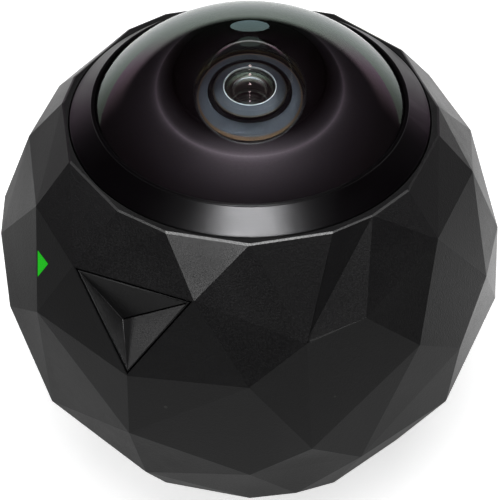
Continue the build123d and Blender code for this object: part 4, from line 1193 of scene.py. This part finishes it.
class BALLCAM_OT_stage(bpy.types.Operator):
    """Makes the pale floor, the soft lamps, the surroundings and the camera"""

    bl_idname = "ball_camera.stage"
    bl_label = "Stage"

    def execute(self, context):
        scene = context.scene
        settings = scene.ball_camera.stage
        self.floor(settings)
        self.surroundings(scene)
        self.lamps(scene, settings.lamp_distance)
        self.camera(scene, settings)
        scene.view_settings.view_transform = "Standard"
        return {"FINISHED"}

    def floor(self, settings):
        """A round pale floor on the level that the camera stands on, which is clear when seen from below."""
        segments, level = 96, CAD_BOX[0].z
        profile = [(radius, level) for radius in (0.001, 0.05, 0.12, 0.3, 0.9, 3.0)]
        mesh = bpy.data.meshes.new("pale_floor")
        middle = [list(range(segments))]
        faces = grid_faces(len(profile), segments).tolist()
        mesh.from_pydata(turned_points(profile, segments).tolist(), [], faces + middle)
        mesh.update()
        shape = bmesh.new()
        shape.from_mesh(mesh)
        bmesh.ops.recalc_face_normals(shape, faces=shape.faces)
        if sum(face.normal.z for face in shape.faces) < 0:
            bmesh.ops.reverse_faces(shape, faces=shape.faces)
        shape.to_mesh(mesh)
        shape.free()
        floor = bpy.data.objects.new("pale_floor", mesh)
        bpy.context.scene.collection.objects.link(floor)
        mesh.materials.append(self.floor_finish(settings.floor_colour))

    def floor_finish(self, pale):
        """Pale paint that glows a little. In reflections the floor is dim paint and glows by its place: white
        behind the object, and less with the distance before it and beside it. The spreads turn distances in
        metres, and for the far floor a direction, into levels of light."""
        material = bpy.data.materials.new("Pale floor")
        material.use_nodes = True
        tree = material.node_tree
        tree.nodes.clear()
        place = add(tree, "ShaderNodeTexCoord").outputs["Object"]
        parts = xyz(tree, place)
        path = add(tree, "ShaderNodeLightPath").outputs
        away = from_axis(tree, place)
        near = spread(tree, away, 0.02, 0.13, 0.5, 0.17)
        near = times(tree, near, spread(tree, parts[0], -0.05, 0.03, 0.78, 1.0))
        near = times(tree, near, spread(tree, away, 0.022, 0.042, 0.55, 1.0))
        before = times(tree, near, spread(tree, away, 0.1, 0.4, 1.0, 0.1))
        slanted = plus(tree, parts[1], times(tree, parts[0], 0.25))
        behind = spread(tree, slanted, -0.005, 0.04)
        far = spread(tree, maths(tree, "DIVIDE", parts[1], away), 0.6, 1.0, 0.25, 1.0)
        rear = spread(tree, parts[0], 0.0, 0.03, 1.0, 1.45)
        rear = mix_values(tree, spread(tree, away, 0.07, 0.13), rear, far)
        level = mix_values(tree, behind, before, rear)
        mirrored = maths(tree, "MAXIMUM", path["Is Glossy Ray"], path["Is Transmission Ray"])
        paint = add(tree, "ShaderNodeBsdfDiffuse")
        tree.links.new(mix_colours(tree, mirrored, pale, (0.06, 0.06, 0.06)), paint.inputs["Color"])
        shown = times(tree, path["Is Camera Ray"], 0.62)
        strength = plus(tree, shown, times(tree, mirrored, level))
        white = add(tree, "ShaderNodeEmission", {"Color": (1, 1, 1, 1), "Strength": strength})
        both = add(tree, "ShaderNodeAddShader", {0: paint.outputs[0], 1: white.outputs[0]})
        below = add(tree, "ShaderNodeNewGeometry").outputs["Backfacing"]
        clear = add(tree, "ShaderNodeBsdfTransparent")
        open_below = add(tree, "ShaderNodeMixShader", {0: below, 1: both.outputs[0], 2: clear.outputs[0]})
        add(tree, "ShaderNodeOutputMaterial", {"Surface": open_below.outputs[0]})
        return material

    def surroundings(self, scene):
        """White where the camera looks. In mirrors it is white low behind the object, mauve at that band's
        two ends, and dim elsewhere."""
        world = bpy.data.worlds.new("Soft studio")
        scene.world = world
        world.use_nodes = True
        tree = world.node_tree
        tree.nodes.clear()
        direction = add(tree, "ShaderNodeTexCoord").outputs["Generated"]
        parts = xyz(tree, direction)
        path = add(tree, "ShaderNodeLightPath").outputs
        low = spread(tree, parts[2], 0.14, 0.26, 1.0, 0.0)
        behind = spread(tree, parts[1], 0.5, 1.0)
        mirrored = plus(tree, times(tree, low, behind), 0.02)
        soft = mix_values(tree, path["Is Diffuse Ray"], mirrored, 0.3)
        strength = mix_values(tree, path["Is Camera Ray"], soft, 1.0)
        side = times(tree, spread(tree, parts[1], 0.97, 0.78), path["Is Glossy Ray"])
        tone = mix_colours(tree, side, (1, 1, 1), (1.0, 0.6, 0.9))
        sky = add(tree, "ShaderNodeBackground", {"Color": tone, "Strength": strength})
        add(tree, "ShaderNodeOutputWorld", {"Surface": sky.outputs[0]})

    def lamps(self, scene, distance):
        """Soft lamps, each placed by azimuth, height angle and distance from the ball's centre. Their power
        is pi times their area times their radiance. The fills light every surface plainly and don't mirror.
        The panels are what the shell mirrors, and the glints what the glass and the turned rings mirror."""
        objects = bpy.data.objects
        button, small = objects["dished_button"], objects["second_glass"]
        glass, bezel = objects["front_glass"], objects["turned_bezel"]
        rings = [objects["outer_lens_ring"], objects["inner_lens_ring"], NODES["lens_barrel"]]
        others = [glass, small, bezel, *rings]
        for name, azimuth, height, size, radiance, pieces, link_state, kind, tint in (
            ("Top fill", 0, 78, (0.5, 0.5), 3.3, [glass], "EXCLUDE", "fill", PLAIN),
            ("Front fill", -20, 35, (0.4, 0.4), 2.4, [glass], "EXCLUDE", "fill", PLAIN),
            ("Top panel", 0, 84, (0.34, 0.34), 20.0, others, "EXCLUDE", "gloss", PLAIN),
            ("Front left panel", -25, 36, (0.2, 0.2), 7.0, others, "EXCLUDE", "gloss", PLAIN),
            ("Front right panel", 22, 28, (0.16, 0.16), 0.5, others, "EXCLUDE", "gloss", PLAIN),
            ("Left panel", -90, 45, (0.42, 0.42), 2.1, others, "EXCLUDE", "gloss", PLAIN),
            ("Right panel", 90, 45, (0.42, 0.42), 2.1, others, "EXCLUDE", "gloss", PLAIN),
            ("Back glint", 180, 24.5, (0.13, 0.14), 0.95, [glass], "INCLUDE", "gloss", COOL),
            ("Upper back glint", 180, 41, (0.098, 0.098), 0.28, [glass], "INCLUDE", "gloss", COOL),
            ("Bezel glint", 0, 58, (0.3, 0.2), 22.0, [bezel], "INCLUDE", "gloss", PLAIN),
            ("Ring light", 0, 80, (0.34, 0.34), 9.0, rings, "INCLUDE", "gloss", PLAIN),
            ("Crescent glint", 180, 30, (0.25, 0.12), 25.0, [small], "INCLUDE", "gloss", PLAIN),
            ("Button light", -92, 7, (0.15, 0.15), 3.0, [button], "INCLUDE", "gloss", PLAIN),
            ("Glass fill", 180, 12, (0.3, 0.3), 60.0, [glass], "INCLUDE", "fill", PLAIN),
            ("First lens glint", 0, 88, (0.05, 0.05), 200.0, [glass], "INCLUDE", "through", PLAIN),
            ("Second lens glint", 0, 70, (0.05, 0.05), 200.0, [glass], "INCLUDE", "through", PLAIN),
            ("Third lens glint", 0, 50, (0.05, 0.05), 200.0, [glass], "INCLUDE", "through", PLAIN),
        ):
            data = bpy.data.lights.new(name, "AREA")
            data.shape = "ELLIPSE"
            data.size, data.size_y = size
            data.energy = pi * pi / 4 * size[0] * size[1] * radiance
            data.color = tint
            lamp = bpy.data.objects.new(name, data)
            scene.collection.objects.link(lamp)
            turn, lift = radians(azimuth), radians(height)
            back = Vector((sin(turn) * cos(lift), -cos(turn) * cos(lift), sin(lift)))
            lamp.location = BALL_CENTRE + back * distance
            lamp.rotation_euler = (-back).to_track_quat("-Z", "Y").to_euler()
            self.aim(lamp, pieces, link_state, kind)

    def aim(self, lamp, pieces, link_state, kind):
        """A lamp lights only the given pieces, or everything but them: a fill plainly, a gloss lamp by its
        mirror image alone, and a lamp that shines through is mirrored only behind glass. In a fill of their
        own, the pieces are shaded by themselves alone."""
        lamp.visible_camera = False
        lamp.visible_diffuse = kind == "fill"
        lamp.visible_glossy = kind == "gloss"
        lamp.visible_transmission = kind == "through"
        group = bpy.data.collections.new(lamp.name)
        for piece in pieces:
            group.objects.link(piece)
        for entry in group.collection_objects:
            entry.light_linking.link_state = link_state
        lamp.light_linking.receiver_collection = group
        if kind == "fill" and link_state == "INCLUDE":
            lamp.light_linking.blocker_collection = group

    def camera(self, scene, settings):
        """The camera at the photograph's angle."""
        data = bpy.data.cameras.new("Camera")
        data.sensor_fit = "HORIZONTAL"
        data.sensor_width = 36
        data.lens = settings.focal_length
        data.clip_start = 0.01
        data.clip_end = 20
        data.shift_x = settings.shift_right
        data.shift_y = settings.shift_up
        camera = bpy.data.objects.new("Camera", data)
        scene.collection.objects.link(camera)
        lift = settings.camera_height
        back = Vector((0, -cos(lift), sin(lift)))
        camera.location = BALL_CENTRE + back * settings.camera_distance
        camera.rotation_euler = (pi / 2 - lift, 0, 0)
        scene.camera = camera


OPERATORS = (
    BALLCAM_OT_shell, BALLCAM_OT_cover, BALLCAM_OT_button, BALLCAM_OT_front_glass, BALLCAM_OT_lenses,
    BALLCAM_OT_bezel, BALLCAM_OT_lens_rings, BALLCAM_OT_status_light, BALLCAM_OT_underside,
    BALLCAM_OT_inner_parts, BALLCAM_OT_stage,
)


class BALLCAM_PT_panel(bpy.types.Panel):
    """Sidebar panel with every step and its settings"""

    bl_idname = "BALLCAM_PT_panel"
    bl_label = "Ball Camera"
    bl_space_type = "VIEW_3D"
    bl_region_type = "UI"
    bl_category = "Ball Camera"

    def draw(self, context):
        settings = context.scene.ball_camera
        for operator in OPERATORS:
            self.layout.operator(operator.bl_idname)
        for group, kind in GROUPS.items():
            box = self.layout.box()
            box.label(text=kind.__doc__)
            for setting in kind.__annotations__:
                box.prop(getattr(settings, group), setting)


CLASSES = (*GROUPS.values(), BallCameraSettings, *OPERATORS, BALLCAM_PT_panel)


def register():
    for kind in CLASSES:
        bpy.utils.register_class(kind)
    bpy.types.Scene.ball_camera = PointerProperty(type=BallCameraSettings)


def unregister():
    del bpy.types.Scene.ball_camera
    for kind in reversed(CLASSES):
        bpy.utils.unregister_class(kind)


def main():
    register()
    bpy.ops.ball_camera.shell()
    bpy.ops.ball_camera.cover()
    bpy.ops.ball_camera.button()
    bpy.ops.ball_camera.front_glass()
    bpy.ops.ball_camera.lenses()
    bpy.ops.ball_camera.bezel()
    bpy.ops.ball_camera.lens_rings()
    bpy.ops.ball_camera.status_light()
    bpy.ops.ball_camera.underside()
    bpy.ops.ball_camera.inner_parts()
    bpy.ops.ball_camera.stage()


if __name__ == "__main__":
    main()
